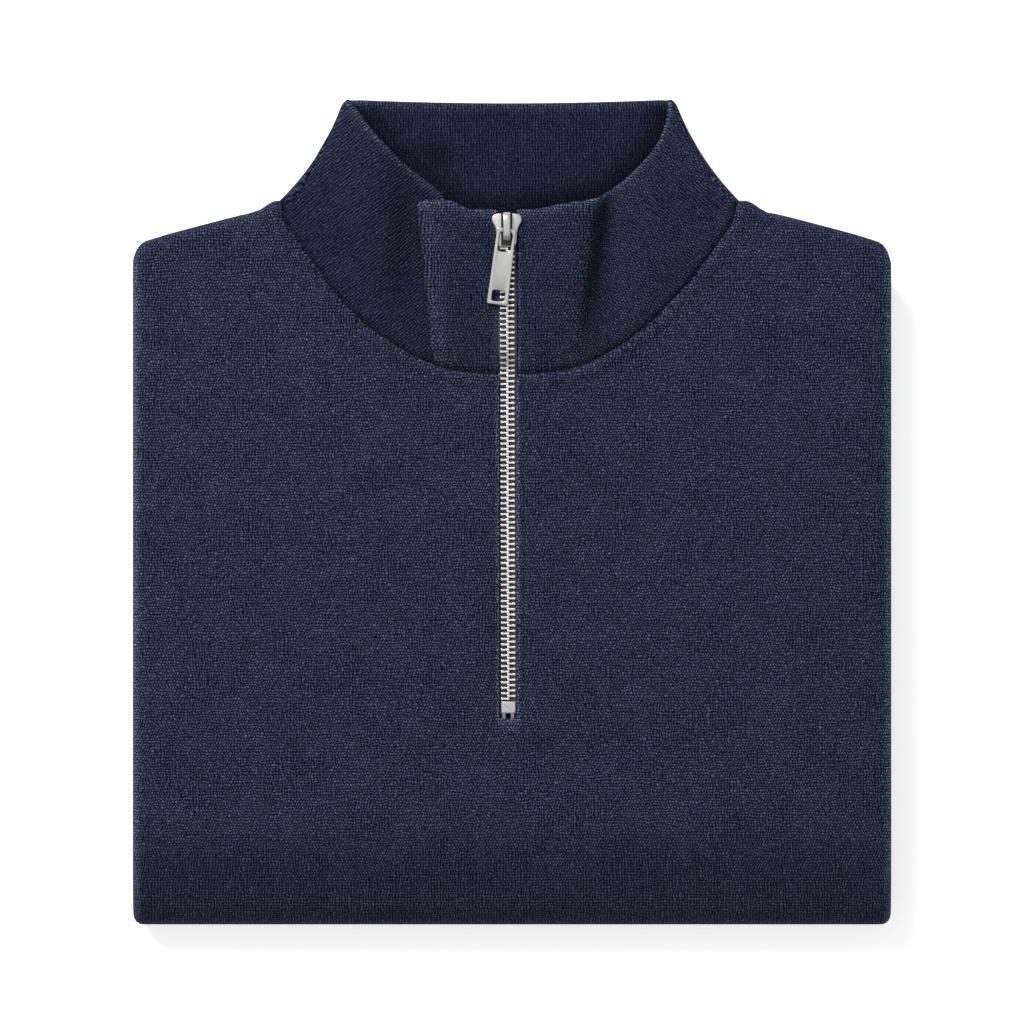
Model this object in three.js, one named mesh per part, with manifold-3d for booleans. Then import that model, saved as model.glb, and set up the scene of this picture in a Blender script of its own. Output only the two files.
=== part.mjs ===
// A quarter-zip sweater in fine navy knit, folded flat and lying face up.
// Millimetres, +Z up. X runs across the chest and Y towards the collar.
// The origin is on the table, under the middle of the folded pack.

import * as THREE from 'three';
import { mergeVertices } from 'three/addons/utils/BufferGeometryUtils.js';
import Module from 'manifold-3d';

const wasm = await Module();
wasm.setup();

// Folded pack: the chest lies on top, the lower half of the body is folded up under it
const PACK_HALF_WIDTH = 159;
const BOTTOM_FOLD_Y = -172.8;
const CHEST_HEIGHT = 28;
const HEM_Y = 99;
const FLAP_WIDTH = 111;
const UPPER_THICKNESS = 11.3;
const LOWER_THICKNESS = 10.3;
const FOLD_THICKNESS = 8;
const CLOTH = 2.2;
const GAP = 0.3;

// The chest sinks gently before it rolls round the bottom fold
const SINK_LENGTH = 34;
const SINK_ANGLE = THREE.MathUtils.degToRad(12);
const SINK_DEPTH = 0.5 * SINK_LENGTH * Math.tan(SINK_ANGLE);
const ROLL_RADIUS = (CHEST_HEIGHT - SINK_DEPTH) / (1 + Math.cos(SINK_ANGLE));
const ROLL_Y = BOTTOM_FOLD_Y + ROLL_RADIUS;
const SINK_START_Y = ROLL_Y - ROLL_RADIUS * Math.sin(SINK_ANGLE) + SINK_LENGTH;

// Shoulder line: distance from the middle of the neck, and how far up the cloth reaches there
const NECK_MIDDLE_X = -1.3;
const SHOULDER_ROLL = 5;
const SHOULDER_ROLL_ANGLE = THREE.MathUtils.degToRad(80);
const SHOULDER_LINE = [
  [0, 130.6], [100, 130.6], [106, 125.8], [130, 120.6], [152, 113.8], [157, 110.4], [160.5, 104],
];
const FLAP_TOP_Y = 102;
const FLAP_SLOPE = 0.22;

// Low swells and dips of the chest: middle, reach each way, height
const SWELLS = [
  { x: -18, y: -15, reachX: 13, reachY: 90, height: 0.7 },
  { x: 16, y: -15, reachX: 13, reachY: 90, height: 0.7 },
  { x: 54, y: 0, reachX: 34, reachY: 44, height: -0.9 },
  { x: 12, y: -100, reachX: 40, reachY: 20, height: -0.8 },
  { x: -95, y: -40, reachX: 45, reachY: 70, height: 0.5 },
  { x: 110, y: -70, reachX: 40, reachY: 50, height: 0.5 },
];

// How far in from the edges of the chest the swells reach their full height
const SWELL_FADE = { along: 25, across: 22 };
// A face whose upward share is above this counts as part of the chest
const FACING_UP = 0.9;

// Neck hollow: the front of the garment stands clear of its back inside this oval, which starts at
// outer and has its whole depth at inner, as shares of the oval
const NECK_HOLLOW = { halfWidth: 92, reach: 64, depth: 5.2, outer: 1.14, inner: 0.8 };
const SHOULDER_TOP_Y = 130;
const BACK_NECK_DIP = 16;

// Collar, in double knit. Heights are those of the middle of its wall.
const COLLAR_WALL = 2.8;
const COLLAR_NECK_Z = 26.6;
const COLLAR_BACK_Z = { neck: 18.9, middle: 16.6, top: 13.4 };
const COLLAR_FOLD_RADIUS = { neck: 3.85, middle: 3.1, top: 2.4 };
const COLLAR_FOLD_FLATNESS = 0.5;
// Outline of the fold at each side: on the shoulder, half way, and at the top corner
const LEFT_FOLD = { neck: [-98.4, 131.2], middle: [-82.2, 150], top: [-70.1, 172.8] };
const RIGHT_FOLD = { neck: [96.1, 131], middle: [79.8, 150.4], top: [67.2, 172.8] };
// Front of the collar from the zip to the fold: the foot of each line on the neck seam, its head on the
// top edge, and its height half way and at the head
const LEFT_FRONT = [
  { foot: [-6.2, 58.6], head: [-6.4, 127.1], middleZ: 28.6, headZ: 28.8 },
  { foot: [-13, 58.8], head: [-13.6, 127.1], middleZ: 28.8, headZ: 29 },
  { foot: [-21, 59.5], head: [-22, 129.4], middleZ: 29, headZ: 29.4 },
  { foot: [-27, 60.6], head: [-31, 130.8], middleZ: 29.2, headZ: 29.6 },
  { foot: [-30.4, 61.4], head: [-36.8, 130.3], middleZ: 28.8, headZ: 29.2 },
  { foot: [-33.6, 62.4], head: [-36.4, 137.6], middleZ: 26, headZ: 26.2 },
  { foot: [-42.3, 66.2], head: [-42.4, 143.8], middleZ: 25.6, headZ: 25.8 },
  { foot: [-53.2, 73.6], head: [-50.2, 151.2], middleZ: 26.4, headZ: 25 },
  { foot: [-64.2, 82], head: [-56.4, 158.2], middleZ: 26.6, headZ: 24 },
  { foot: [-75.2, 94.4], head: [-61.6, 164.2], middleZ: 26, headZ: 22.4 },
  { foot: [-84.8, 108], head: [-65.2, 169], middleZ: 25, headZ: 20.6 },
  { foot: [-92.4, 118.6], head: [-66.9, 171.2], middleZ: 23.8, headZ: 19 },
  { foot: [-95.4, 124.6], head: [-67.5, 172.2], middleZ: 23, headZ: 18.2 },
];
const RIGHT_FRONT = [
  { foot: [2.6, 58.6], head: [2.2, 127.1], middleZ: 28.6, headZ: 28.8 },
  { foot: [9.5, 58.8], head: [10.4, 127.6], middleZ: 28.8, headZ: 29 },
  { foot: [17, 59.4], head: [21.4, 129.6], middleZ: 29, headZ: 29.4 },
  { foot: [23.4, 60.4], head: [31.4, 131], middleZ: 28.8, headZ: 29.4 },
  { foot: [28.6, 61.8], head: [36.6, 132.2], middleZ: 26.6, headZ: 27.6 },
  { foot: [41.2, 68.2], head: [43.8, 137], middleZ: 26, headZ: 26 },
  { foot: [54, 77], head: [51.4, 143.4], middleZ: 26.6, headZ: 25.2 },
  { foot: [65.4, 88], head: [57.8, 150], middleZ: 26.4, headZ: 24 },
  { foot: [76.2, 99.8], head: [62.2, 156.6], middleZ: 25.8, headZ: 22.4 },
  { foot: [85.4, 112.6], head: [64.4, 163.6], middleZ: 24.8, headZ: 20.6 },
  { foot: [90.4, 119.4], head: [64.4, 168.6], middleZ: 23.8, headZ: 19 },
  { foot: [93.2, 125], head: [64.6, 172], middleZ: 23, headZ: 18.2 },
];

// Zip: closed chain 6.3 wide, seen through a slit 8.5 wide. Past the neck seam it rises to the collar's wall.
const ZIP_TOP_X = -2.1;
const ZIP_BOTTOM_X = -1.5;
const ZIP_SLIT_HALF = 4.25;
const ZIP_SLIT_END_Y = -86.8;
const ZIP_RISE = 9;
const SLIT_INTO_NECK = 3;
const CHAIN_HALF_WIDTH = 3.15;
const CHAIN_HALF_THICKNESS = 1.3;
const CHAIN_TOP_Y = 120.6;
const TAPE_THICKNESS = 0.9;
const TAPE_REACH = 12.5;
const TAPE_BELOW_SLIT = 0.6;
const TEETH_TO_TAPE = 0.3;
const BODY_TAPE_Z = CHEST_HEIGHT - CLOTH - GAP - TAPE_THICKNESS / 2;
const STOP = { top: -79.6, bottom: -84.6, width: 6.3, above: 1.7, corner: 0.8 };
const SLIDER = { x: -2.2, y: 119.4, plate: 1.2, room: 3.2, bridgeWidth: 3.3 };
// Slider plate outline: distance along the zip from its middle, and half its width there
const SLIDER_OUTLINE = [
  [6, 3.4], [5.4, 5.4], [4, 6.3], [2.4, 6.2], [0.2, 5], [-2.6, 4.4], [-5.4, 4.2], [-6.6, 3.3],
];
const SLIDER_CLEARANCE = 0.45;
// Post between the slider's plates, above the teeth
const SLIDER_POST = { halfWidth: 1.7, above: 5.6, corner: 0.8, sunk: 0.2 };
// The bridge seen from the side, from its upper foot over the top to its lower foot and back inside:
// distance along the zip and height, each with the point that its curve bends towards
const BRIDGE_TOP = [
  { to: [6, 1.8] }, { by: [5.6, 4.2], to: [2.4, 4.2] }, { to: [-3, 4.2] },
  { by: [-5.4, 4], to: [-5.8, 1.6] }, { to: [-5.8, -0.4] }, { to: [-4.1, -0.4] }, { to: [-4.1, 1.4] },
  { by: [-3.9, 2.75], to: [-2.6, 2.8] }, { to: [2.2, 2.8] }, { by: [4.2, 2.8], to: [4.4, 1.4] },
  { to: [4.4, -0.4] },
];
const BRIDGE_START = [6, -0.4];

// Pull tab: a plate with an eye round the bridge and a slot near its end
const TAB = {
  length: 31.4, width: 9, headWidth: 8, thickness: 1.5, bar: 1.7, eyeWidth: 5.4, eyeLength: 8.2,
  slotWidth: 5.4, slotLength: 4.6, slotFromEnd: 1.4, corner: 0.7, eyeCorner: 1.1, slotCorner: 1,
};
// The tab narrows to its head between these two places
const TAB_NECK = { start: -10, length: 9 };
const TAB_HINGE = { x: -2.3, y: 118.2, aboveZip: 4.25 };
const TAB_SWING = THREE.MathUtils.degToRad(-7.2);
const TAB_PITCH = THREE.MathUtils.degToRad(3);

// Folded sleeves, between the two halves of the pack
const SLEEVE = { inner: 50, outer: 153, top: 98, bottom: -157.5, low: 10.7, high: 16.1, slope: 0.12 };

const mix = THREE.MathUtils.lerp;
const clamp = (share) => Math.min(1, Math.max(0, share));
const smooth = (share) => clamp(share) ** 2 * (3 - 2 * clamp(share));

// Value of a table of [place, value] rows at a place between two rows
function readTable(rows, place) {
  const next = rows.findIndex(([at]) => at >= place);
  if (next === 0) return rows[0][1];
  if (next < 0) return rows[rows.length - 1][1];
  const [[startAt, start], [endAt, end]] = [rows[next - 1], rows[next]];
  return mix(start, end, (place - startAt) / (endAt - startAt));
}

// Even shares from 0 to 1
const shares = (count) => Array.from({ length: count }, (_, n) => n / (count - 1));

// Curve through three values, at 0, a half and 1
function bend(start, middle, end, share) {
  const towardsEnd = end * share * (2 * share - 1);
  return start * (1 - share) * (1 - 2 * share) + middle * 4 * share * (1 - share) + towardsEnd;
}

function signedVolume(geometry) {
  const spots = geometry.getAttribute('position');
  const index = geometry.getIndex().array;
  const [a, b, c] = [new THREE.Vector3(), new THREE.Vector3(), new THREE.Vector3()];
  let sum = 0;
  for (let n = 0; n < index.length; n += 3) {
    a.fromBufferAttribute(spots, index[n]);
    b.fromBufferAttribute(spots, index[n + 1]);
    c.fromBufferAttribute(spots, index[n + 2]);
    sum += a.dot(b.cross(c));
  }
  return sum / 6;
}

// A block of cells whose corners are moved to place(i, j, k), with its faces pointing out
function lattice(across, along, through, place) {
  const block = new THREE.BoxGeometry(across, along, through, across, along, through);
  block.translate(across / 2, along / 2, through / 2);
  block.deleteAttribute('normal');
  block.deleteAttribute('uv');
  const solid = mergeVertices(block, 0.01);
  const spots = solid.getAttribute('position');
  for (let n = 0; n < spots.count; n += 1) {
    const [i, j, k] = [spots.getX(n), spots.getY(n), spots.getZ(n)].map(Math.round);
    const point = place(i, j, k);
    spots.setXYZ(n, point.x, point.y, point.z);
  }
  if (signedVolume(solid) < 0) solid.setIndex([...solid.getIndex().array].reverse());
  return solid;
}

// Boolean work: a geometry becomes a solid, and a solid becomes a geometry
function toSolid(geometry) {
  const bare = geometry.clone();
  bare.deleteAttribute('normal');
  bare.deleteAttribute('uv');
  const merged = mergeVertices(bare, 1e-4);
  const vertProperties = new Float32Array(merged.getAttribute('position').array);
  const triVerts = new Uint32Array(merged.getIndex().array);
  return new wasm.Manifold(new wasm.Mesh({ numProp: 3, vertProperties, triVerts }));
}

function toGeometry(solid) {
  const { vertProperties, triVerts } = solid.getMesh();
  const geometry = new THREE.BufferGeometry();
  geometry.setAttribute('position', new THREE.BufferAttribute(new Float32Array(vertProperties), 3));
  geometry.setIndex(new THREE.BufferAttribute(new Uint32Array(triVerts), 1));
  return geometry;
}

function plate(outline, bottom, top, holes = []) {
  const shape = new THREE.Shape(outline);
  holes.forEach((hole) => shape.holes.push(new THREE.Path(hole)));
  const settings = { depth: top - bottom, bevelEnabled: false };
  return new THREE.ExtrudeGeometry(shape, settings).translate(0, 0, bottom);
}

function roundedRectangle(left, bottom, right, top, radius, steps = 3) {
  const corners = [
    [right - radius, top - radius, 0], [left + radius, top - radius, 1],
    [left + radius, bottom + radius, 2], [right - radius, bottom + radius, 3],
  ];
  return corners.flatMap(([x, y, quarter]) => Array.from({ length: steps + 1 }, (_, n) => {
    const angle = (quarter + n / steps) * Math.PI / 2;
    return new THREE.Vector2(x + radius * Math.cos(angle), y + radius * Math.sin(angle));
  }));
}

const chestSwell = (x, y) => SWELLS.reduce((sum, swell) => {
  const away = ((x - swell.x) / swell.reachX) ** 2 + ((y - swell.y) / swell.reachY) ** 2;
  return sum + swell.height * Math.exp(-away);
}, 0);

// Rows of the pack from the shoulder line to the hem, and what each stretch is cut into
const CHEST_ROWS = 12;
const SINK_ROWS = 3;
const ROLL_ROWS = 7;
const UNDER_ROWS = [0, 28, 110, 190, HEM_Y - ROLL_Y];

// A place on the outer face of the pack, as it runs down the chest, round the fold and back under it,
// with the direction that points out of the cloth there and the thickness of that half of the pack
function packPlace(row, shoulderY) {
  if (row <= CHEST_ROWS) {
    const y = mix(shoulderY, SINK_START_Y, row / CHEST_ROWS);
    return { y, z: CHEST_HEIGHT, outY: 0, outZ: 1, thick: UPPER_THICKNESS };
  }
  if (row <= CHEST_ROWS + SINK_ROWS) {
    const share = (row - CHEST_ROWS) / SINK_ROWS;
    const slope = share * Math.tan(SINK_ANGLE);
    const length = Math.hypot(1, slope);
    return {
      y: SINK_START_Y - share * SINK_LENGTH,
      z: CHEST_HEIGHT - share ** 2 * SINK_DEPTH,
      outY: -slope / length,
      outZ: 1 / length,
      thick: mix(UPPER_THICKNESS, FOLD_THICKNESS, smooth(share)),
    };
  }
  if (row <= CHEST_ROWS + SINK_ROWS + ROLL_ROWS) {
    const share = (row - CHEST_ROWS - SINK_ROWS) / ROLL_ROWS;
    const angle = mix(SINK_ANGLE, Math.PI, share);
    return {
      y: ROLL_Y - ROLL_RADIUS * Math.sin(angle),
      z: ROLL_RADIUS + ROLL_RADIUS * Math.cos(angle),
      outY: -Math.sin(angle),
      outZ: Math.cos(angle),
      thick: FOLD_THICKNESS,
    };
  }
  const under = row - CHEST_ROWS - SINK_ROWS - ROLL_ROWS;
  const thick = under === 0 ? FOLD_THICKNESS : LOWER_THICKNESS;
  return { y: ROLL_Y + UNDER_ROWS[under], z: 0, outY: 0, outZ: -1, thick };
}

const PACK_ROWS = CHEST_ROWS + SINK_ROWS + ROLL_ROWS + UNDER_ROWS.length - 1;

// A point of the pack at x, so deep under its outer face
function inPack(row, x, depth, shoulderY) {
  const place = packPlace(row, shoulderY);
  const inAlong = smooth((place.y - SINK_START_Y) / SWELL_FADE.along);
  const inAcross = smooth((PACK_HALF_WIDTH - Math.abs(x)) / SWELL_FADE.across);
  const nearTop = 1 - smooth(depth / place.thick);
  const rise = place.outZ > FACING_UP ? inAlong * inAcross * nearTop * chestSwell(x, place.y) : 0;
  return new THREE.Vector3(x, place.y - depth * place.outY, place.z - depth * place.outZ + rise);
}

// Front panel: a wall that wraps round both sides of the pack, cut for the neck and the zip
const FLAP_CELLS = 2;
const TURN_CELLS = 5;
const ACROSS_CELLS = 22;
const WRAP_CELLS = 2 * (FLAP_CELLS + TURN_CELLS) + ACROSS_CELLS;
const SHOULDER_ROLL_ROWS = 3;
// Shares of a side fold's thickness between which the panel's end passes from the shoulder to the flap
const END_TURN = { start: 0.2, length: 0.4 };
const FLAP_END_ROLL = 3;

function wrapPlace(column, thick, inset) {
  const side = column <= WRAP_CELLS / 2 ? -1 : 1;
  const cell = column <= WRAP_CELLS / 2 ? column : WRAP_CELLS - column;
  const turnX = PACK_HALF_WIDTH - thick / 2;
  if (cell <= FLAP_CELLS) {
    const flapX = mix(PACK_HALF_WIDTH - FLAP_WIDTH, turnX, cell / FLAP_CELLS);
    return { x: side * flapX, depth: thick - inset };
  }
  if (cell <= FLAP_CELLS + TURN_CELLS) {
    const angle = Math.PI * (cell - FLAP_CELLS) / TURN_CELLS;
    const reach = thick / 2 - inset;
    return { x: side * (turnX + reach * Math.sin(angle)), depth: thick / 2 + reach * Math.cos(angle) };
  }
  const share = (cell - FLAP_CELLS - TURN_CELLS) / (ACROSS_CELLS / 2);
  return { x: side * turnX * (1 - share), depth: inset };
}

function frontPanelPoint(column, row, layer) {
  const packRow = Math.max(0, row - SHOULDER_ROLL_ROWS);
  const inset = (1 - layer) * CLOTH;
  const { thick } = packPlace(packRow, 0);
  const { x, depth } = wrapPlace(column, thick, inset);
  const onTop = 1 - smooth((depth / thick - END_TURN.start) / END_TURN.length);
  const shoulder = readTable(SHOULDER_LINE, Math.abs(x - NECK_MIDDLE_X)) - SHOULDER_ROLL;
  const flap = FLAP_TOP_Y - FLAP_SLOPE * (PACK_HALF_WIDTH - Math.abs(x));
  const shoulderY = mix(flap, shoulder, onTop);
  const point = inPack(packRow, x, depth, shoulderY);
  const roll = Math.max(0, 1 - row / SHOULDER_ROLL_ROWS);
  if (roll > 0) {
    const angle = roll * SHOULDER_ROLL_ANGLE * onTop;
    const arm = SHOULDER_ROLL - depth;
    point.y += arm * Math.sin(angle) + (1 - onTop) * roll * FLAP_END_ROLL;
    point.z -= arm * (1 - Math.cos(angle));
  }
  return point;
}

// Collar lines, from the zip round the left side, the back and the right side to the zip again
const FRONT_LINES = 16;
const FOLD_LINES = 5;
const BACK_LINES = 16;
const COLLAR_ROWS = 7;
const BACK_TOP_DIP = 1.4;

function frontLine(rows, share) {
  const feet = new THREE.CatmullRomCurve3(rows.map(({ foot: [x, y] }) => new THREE.Vector3(x, y, 0)));
  const heads = rows.map(({ head: [x, y], headZ }) => new THREE.Vector3(x, y, headZ));
  const middles = rows.map(({ middleZ }, n) => new THREE.Vector3(n, middleZ, 0));
  const foot = feet.getPoint(share);
  const head = new THREE.CatmullRomCurve3(heads).getPoint(share);
  const middleZ = new THREE.CatmullRomCurve3(middles).getPoint(share).y;
  return (up) => ({
    x: mix(foot.x, head.x, up),
    y: mix(foot.y, head.y, up),
    z: bend(COLLAR_NECK_Z, middleZ, head.z, up),
    out: new THREE.Vector3(0, 0, 1),
  });
}

function foldLine(fold, turn) {
  const side = Math.sign(fold.neck[0]);
  const out = new THREE.Vector3(side * Math.sin(turn), 0, Math.cos(turn));
  return (up) => {
    const radius = bend(COLLAR_FOLD_RADIUS.neck, COLLAR_FOLD_RADIUS.middle, COLLAR_FOLD_RADIUS.top, up);
    const edgeX = bend(fold.neck[0], fold.middle[0], fold.top[0], up);
    const edgeY = bend(fold.neck[1], fold.middle[1], fold.top[1], up);
    const backZ = bend(COLLAR_BACK_Z.neck, COLLAR_BACK_Z.middle, COLLAR_BACK_Z.top, up);
    const inward = radius * COLLAR_FOLD_FLATNESS * (1 - Math.sin(turn)) + COLLAR_WALL / 2;
    return {
      x: edgeX - side * inward,
      y: edgeY,
      z: backZ + radius + radius * Math.cos(turn),
      out,
    };
  };
}

function backLine(share) {
  const left = foldLine(LEFT_FOLD, Math.PI);
  const right = foldLine(RIGHT_FOLD, Math.PI);
  const dip = 1 - (2 * share - 1) ** 2;
  return (up) => {
    const [start, end] = [left(up), right(up)];
    return {
      x: mix(start.x, end.x, share),
      y: mix(start.y, end.y, share) - dip * mix(BACK_NECK_DIP, BACK_TOP_DIP, up),
      z: mix(start.z, end.z, share),
      out: new THREE.Vector3(0, 0, -1),
    };
  };
}

function collarLines() {
  const front = (rows) => shares(FRONT_LINES).map((share) => frontLine(rows, share));
  const turn = (fold) => shares(FOLD_LINES).map((share) => foldLine(fold, Math.PI * share));
  const back = shares(BACK_LINES + 1).slice(1, -1).map(backLine);
  return [
    ...front(LEFT_FRONT), ...turn(LEFT_FOLD), ...back,
    ...turn(RIGHT_FOLD).reverse(), ...front(RIGHT_FRONT).reverse(),
  ];
}

const COLLAR_LINES = collarLines();

function collarPoint(line, row, layer) {
  const { x, y, z, out } = COLLAR_LINES[line](row / COLLAR_ROWS);
  return new THREE.Vector3(x, y, z).addScaledVector(out, (layer - 0.5) * COLLAR_WALL);
}

// The neck seam seen from above, a seam's gap outside the foot of the collar. A cut runs past the cloth.
const NECK_POINTS = 57;
const NECK_END_STEP = 0.7;
const CUT_PAST = 20;

function neckOutline() {
  const rows = [...RIGHT_FRONT.slice().reverse(), ...LEFT_FRONT];
  const feet = rows.map(({ foot: [x, y] }) => new THREE.Vector3(x, y, 0));
  const ends = [feet[0], feet[feet.length - 1]].map(({ x }) => {
    return new THREE.Vector3(x + Math.sign(x) * NECK_END_STEP, SHOULDER_TOP_Y - 1, 0);
  });
  const seam = new THREE.CatmullRomCurve3([ends[0], ...feet, ends[1]]);
  const points = shares(NECK_POINTS).map((share) => {
    const foot = seam.getPoint(share);
    const along = seam.getTangent(share);
    return new THREE.Vector2(foot.x - along.y * GAP, foot.y + along.x * GAP);
  });
  const [first, last] = [points[0], points[points.length - 1]];
  const beyond = SHOULDER_TOP_Y + CUT_PAST;
  return [...points, new THREE.Vector2(last.x, beyond), new THREE.Vector2(first.x, beyond)];
}

const zipX = (y) => mix(ZIP_BOTTOM_X, ZIP_TOP_X, clamp((y - STOP.top) / (CHAIN_TOP_Y - STOP.top)));

// Height of the middle of the tape: under the chest, then up to the middle of the collar's wall
function zipZ(y) {
  const [first, last] = [LEFT_FRONT[0].foot[1], LEFT_FRONT[0].head[1]];
  const up = clamp((y - first) / (last - first));
  const onCollar = bend(COLLAR_NECK_Z, LEFT_FRONT[0].middleZ, LEFT_FRONT[0].headZ, up);
  const onBody = BODY_TAPE_Z + chestSwell(zipX(y), y);
  return mix(onBody, onCollar, smooth((y - first) / ZIP_RISE));
}

function frontPanel() {
  const wall = toSolid(lattice(WRAP_CELLS, SHOULDER_ROLL_ROWS + PACK_ROWS, 1, frontPanelPoint));
  const aboveFlaps = CHEST_HEIGHT - UPPER_THICKNESS + CLOTH + 1;
  const neck = toSolid(plate(neckOutline(), aboveFlaps, CHEST_HEIGHT + CUT_PAST));
  const slitLength = LEFT_FRONT[0].foot[1] + SLIT_INTO_NECK - ZIP_SLIT_END_Y;
  const slit = new THREE.BoxGeometry(2 * ZIP_SLIT_HALF, slitLength, CUT_PAST);
  slit.translate(zipX(0), ZIP_SLIT_END_Y + slitLength / 2, CHEST_HEIGHT);
  return toGeometry(wall.subtract(neck).subtract(toSolid(slit)));
}

// Back panel: the hidden layers as one solid inside the front panel's wrap, layered at its ends
const LAYER_CELLS = 6;
// How far each level of the shoulder end stands out, from under the front panel down to the flaps
const SHOULDER_LAYERS = [-2.4, -1, 1.4, 4.3, 3, 4.2, 2.6];
const SHOULDER_CORNER_TUCK = 2.5;
const HEM_LAYERS = [-1.2, 0, -1.6, -0.2, -1.4, 0, -1.2];
const BACK_COLUMNS = [0, 8, 14, 18, 33, 42.8, 46.4, 68, 84, 96, 105, 124, 142];
const ZIP_ROOM = { depth: 2.2, beside: 3, below: 24 };
// Between the flaps the hidden layers fill the pack to its middle, down from the chest and up from below
const MIDDLE_FILL = { halfWidth: 45, upper: 5.6, lower: 5.2 };
// Past the ends of the flaps the hidden layers settle a little lower
const PAST_FLAP_SAG = 1.9;
const PAST_FLAP_REACH = 112;
// Outside this, only the lower levels end at the back neck
const NECK_CORNER = 90;
const NECK_CORNER_LEVEL = 2;

function backPanelPoint(column, row, level) {
  const middle = BACK_COLUMNS.length;
  const side = Math.sign(column - middle);
  const step = Math.abs(column - middle);
  const { thick } = packPlace(row, 0);
  const lining = CLOTH + GAP;
  const reach = thick / 2 - lining;
  const share = level / LAYER_CELLS;
  const edgeX = PACK_HALF_WIDTH - thick / 2 + reach * Math.sqrt(Math.max(0, 1 - (2 * share - 1) ** 2));
  const x = step === middle ? side * edgeX : zipX(0) * (1 - step / middle) + side * BACK_COLUMNS[step];
  const offset = Math.abs(x - NECK_MIDDLE_X);
  const shoulder = readTable(SHOULDER_LINE, offset) - SHOULDER_ROLL;
  const neckHalf = (RIGHT_FOLD.neck[0] - LEFT_FOLD.neck[0]) / 2;
  const backNeck = RIGHT_FOLD.neck[1] - GAP - BACK_NECK_DIP * (1 - (offset / neckHalf) ** 2);
  const inNeck = offset < neckHalf;
  const standing = shoulder + SHOULDER_LAYERS[level] - (step === middle ? SHOULDER_CORNER_TUCK : 0);
  const end = inNeck && (offset < NECK_CORNER || level > NECK_CORNER_LEVEL) ? backNeck : standing;
  const { y, outZ } = packPlace(row, end);
  const onTop = outZ > FACING_UP;
  const ovalX = (x - NECK_MIDDLE_X) / NECK_HOLLOW.halfWidth;
  const ovalY = (SHOULDER_TOP_Y - y) / NECK_HOLLOW.reach;
  const inOval = (NECK_HOLLOW.outer - Math.hypot(ovalX, ovalY)) / (NECK_HOLLOW.outer - NECK_HOLLOW.inner);
  const hollow = onTop ? NECK_HOLLOW.depth * smooth(inOval) : 0;
  const besideZip = Math.abs(x - zipX(y)) < TAPE_REACH + ZIP_ROOM.beside;
  const zipRoom = onTop && besideZip && y > ZIP_SLIT_END_Y - ZIP_ROOM.below ? ZIP_ROOM.depth : 0;
  const between = Math.abs(x) < MIDDLE_FILL.halfWidth;
  const under = outZ < -FACING_UP && row > CHEST_ROWS + SINK_ROWS + ROLL_ROWS;
  const fill = under ? MIDDLE_FILL.lower : MIDDLE_FILL.upper;
  const sag = row === 0 && Math.abs(x) < PAST_FLAP_REACH ? PAST_FLAP_SAG : 0;
  const depth = mix(lining + Math.max(hollow, zipRoom), thick - lining + (between ? fill : sag), share);
  const point = inPack(row, x, depth, end);
  if (row === PACK_ROWS) point.y += HEM_LAYERS[level];
  return point;
}

// Sleeve: a folded strip, rounded at its edges with a groove between its two layers
const SLEEVE_INSETS = [1.7, 0.3, 1.3, 0.3, 1.7];
const SLEEVE_COLUMNS = 6;
const SLEEVE_ROWS = 8;

function sleeve(side) {
  const levels = SLEEVE_INSETS.length - 1;
  return lattice(SLEEVE_COLUMNS, SLEEVE_ROWS, levels, (i, j, k) => {
    const inset = SLEEVE_INSETS[k];
    const x = mix(SLEEVE.inner + inset, SLEEVE.outer - inset, i / SLEEVE_COLUMNS);
    const top = SLEEVE.top - inset - SLEEVE.slope * (SLEEVE.outer - x);
    const y = mix(SLEEVE.bottom + inset, top, j / SLEEVE_ROWS);
    return new THREE.Vector3(side * x, y, mix(SLEEVE.low, SLEEVE.high, k / levels));
  });
}

// A strip along one side of the zip, between two distances from its middle
function zipStrip(side, near, farAt, halfThickness, rowsY) {
  return lattice(1, rowsY.length - 1, 1, (i, j, k) => {
    const y = rowsY[j];
    const x = zipX(y) + side * (i === 0 ? near : farAt(y));
    return new THREE.Vector3(x, y, zipZ(y) + (2 * k - 1) * halfThickness);
  });
}

const SEAM_Y = LEFT_FRONT[0].foot[1];
const PAST_SEAM = 3;
const TAPE_TURN = { start: 1.5, end: 0.6 };
const TAPE_ROWS = 10;
const TEETH_ROWS = 9;
const spread = (start, end, count) => shares(count).map((share) => mix(start, end, share));

// The tape is wide under the chest, and narrows at the neck seam to fit the slit in the collar
function zipTape(side) {
  const rowsY = [
    ZIP_SLIT_END_Y - TAPE_BELOW_SLIT, STOP.bottom,
    ...spread(STOP.top + PAST_SEAM, SEAM_Y - TAPE_TURN.start, TAPE_ROWS), SEAM_Y - TAPE_TURN.end,
    ...spread(SEAM_Y + PAST_SEAM, CHAIN_TOP_Y - 1, TEETH_ROWS),
  ];
  const farAt = (y) => (y <= SEAM_Y - TAPE_TURN.start ? TAPE_REACH : ZIP_SLIT_HALF - GAP);
  const near = CHAIN_HALF_WIDTH + TEETH_TO_TAPE / 3;
  return zipStrip(side, near, farAt, TAPE_THICKNESS / 2, rowsY);
}

function zipTeeth(side) {
  const onBody = spread(STOP.top + GAP, SEAM_Y, TEETH_ROWS);
  const onCollar = spread(SEAM_Y + PAST_SEAM, CHAIN_TOP_Y, TEETH_ROWS);
  const outer = CHAIN_HALF_WIDTH - 2 * TEETH_TO_TAPE / 3;
  return zipStrip(side, GAP / 2, () => outer, CHAIN_HALF_THICKNESS, [...onBody, ...onCollar]);
}

function bottomStop() {
  const z = zipZ(STOP.top);
  const half = STOP.width / 2;
  const outline = roundedRectangle(-half, STOP.bottom, half, STOP.top, STOP.corner);
  return plate(outline, z - STOP.above, z + STOP.above).translate(zipX(STOP.top), 0, 0);
}

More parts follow.
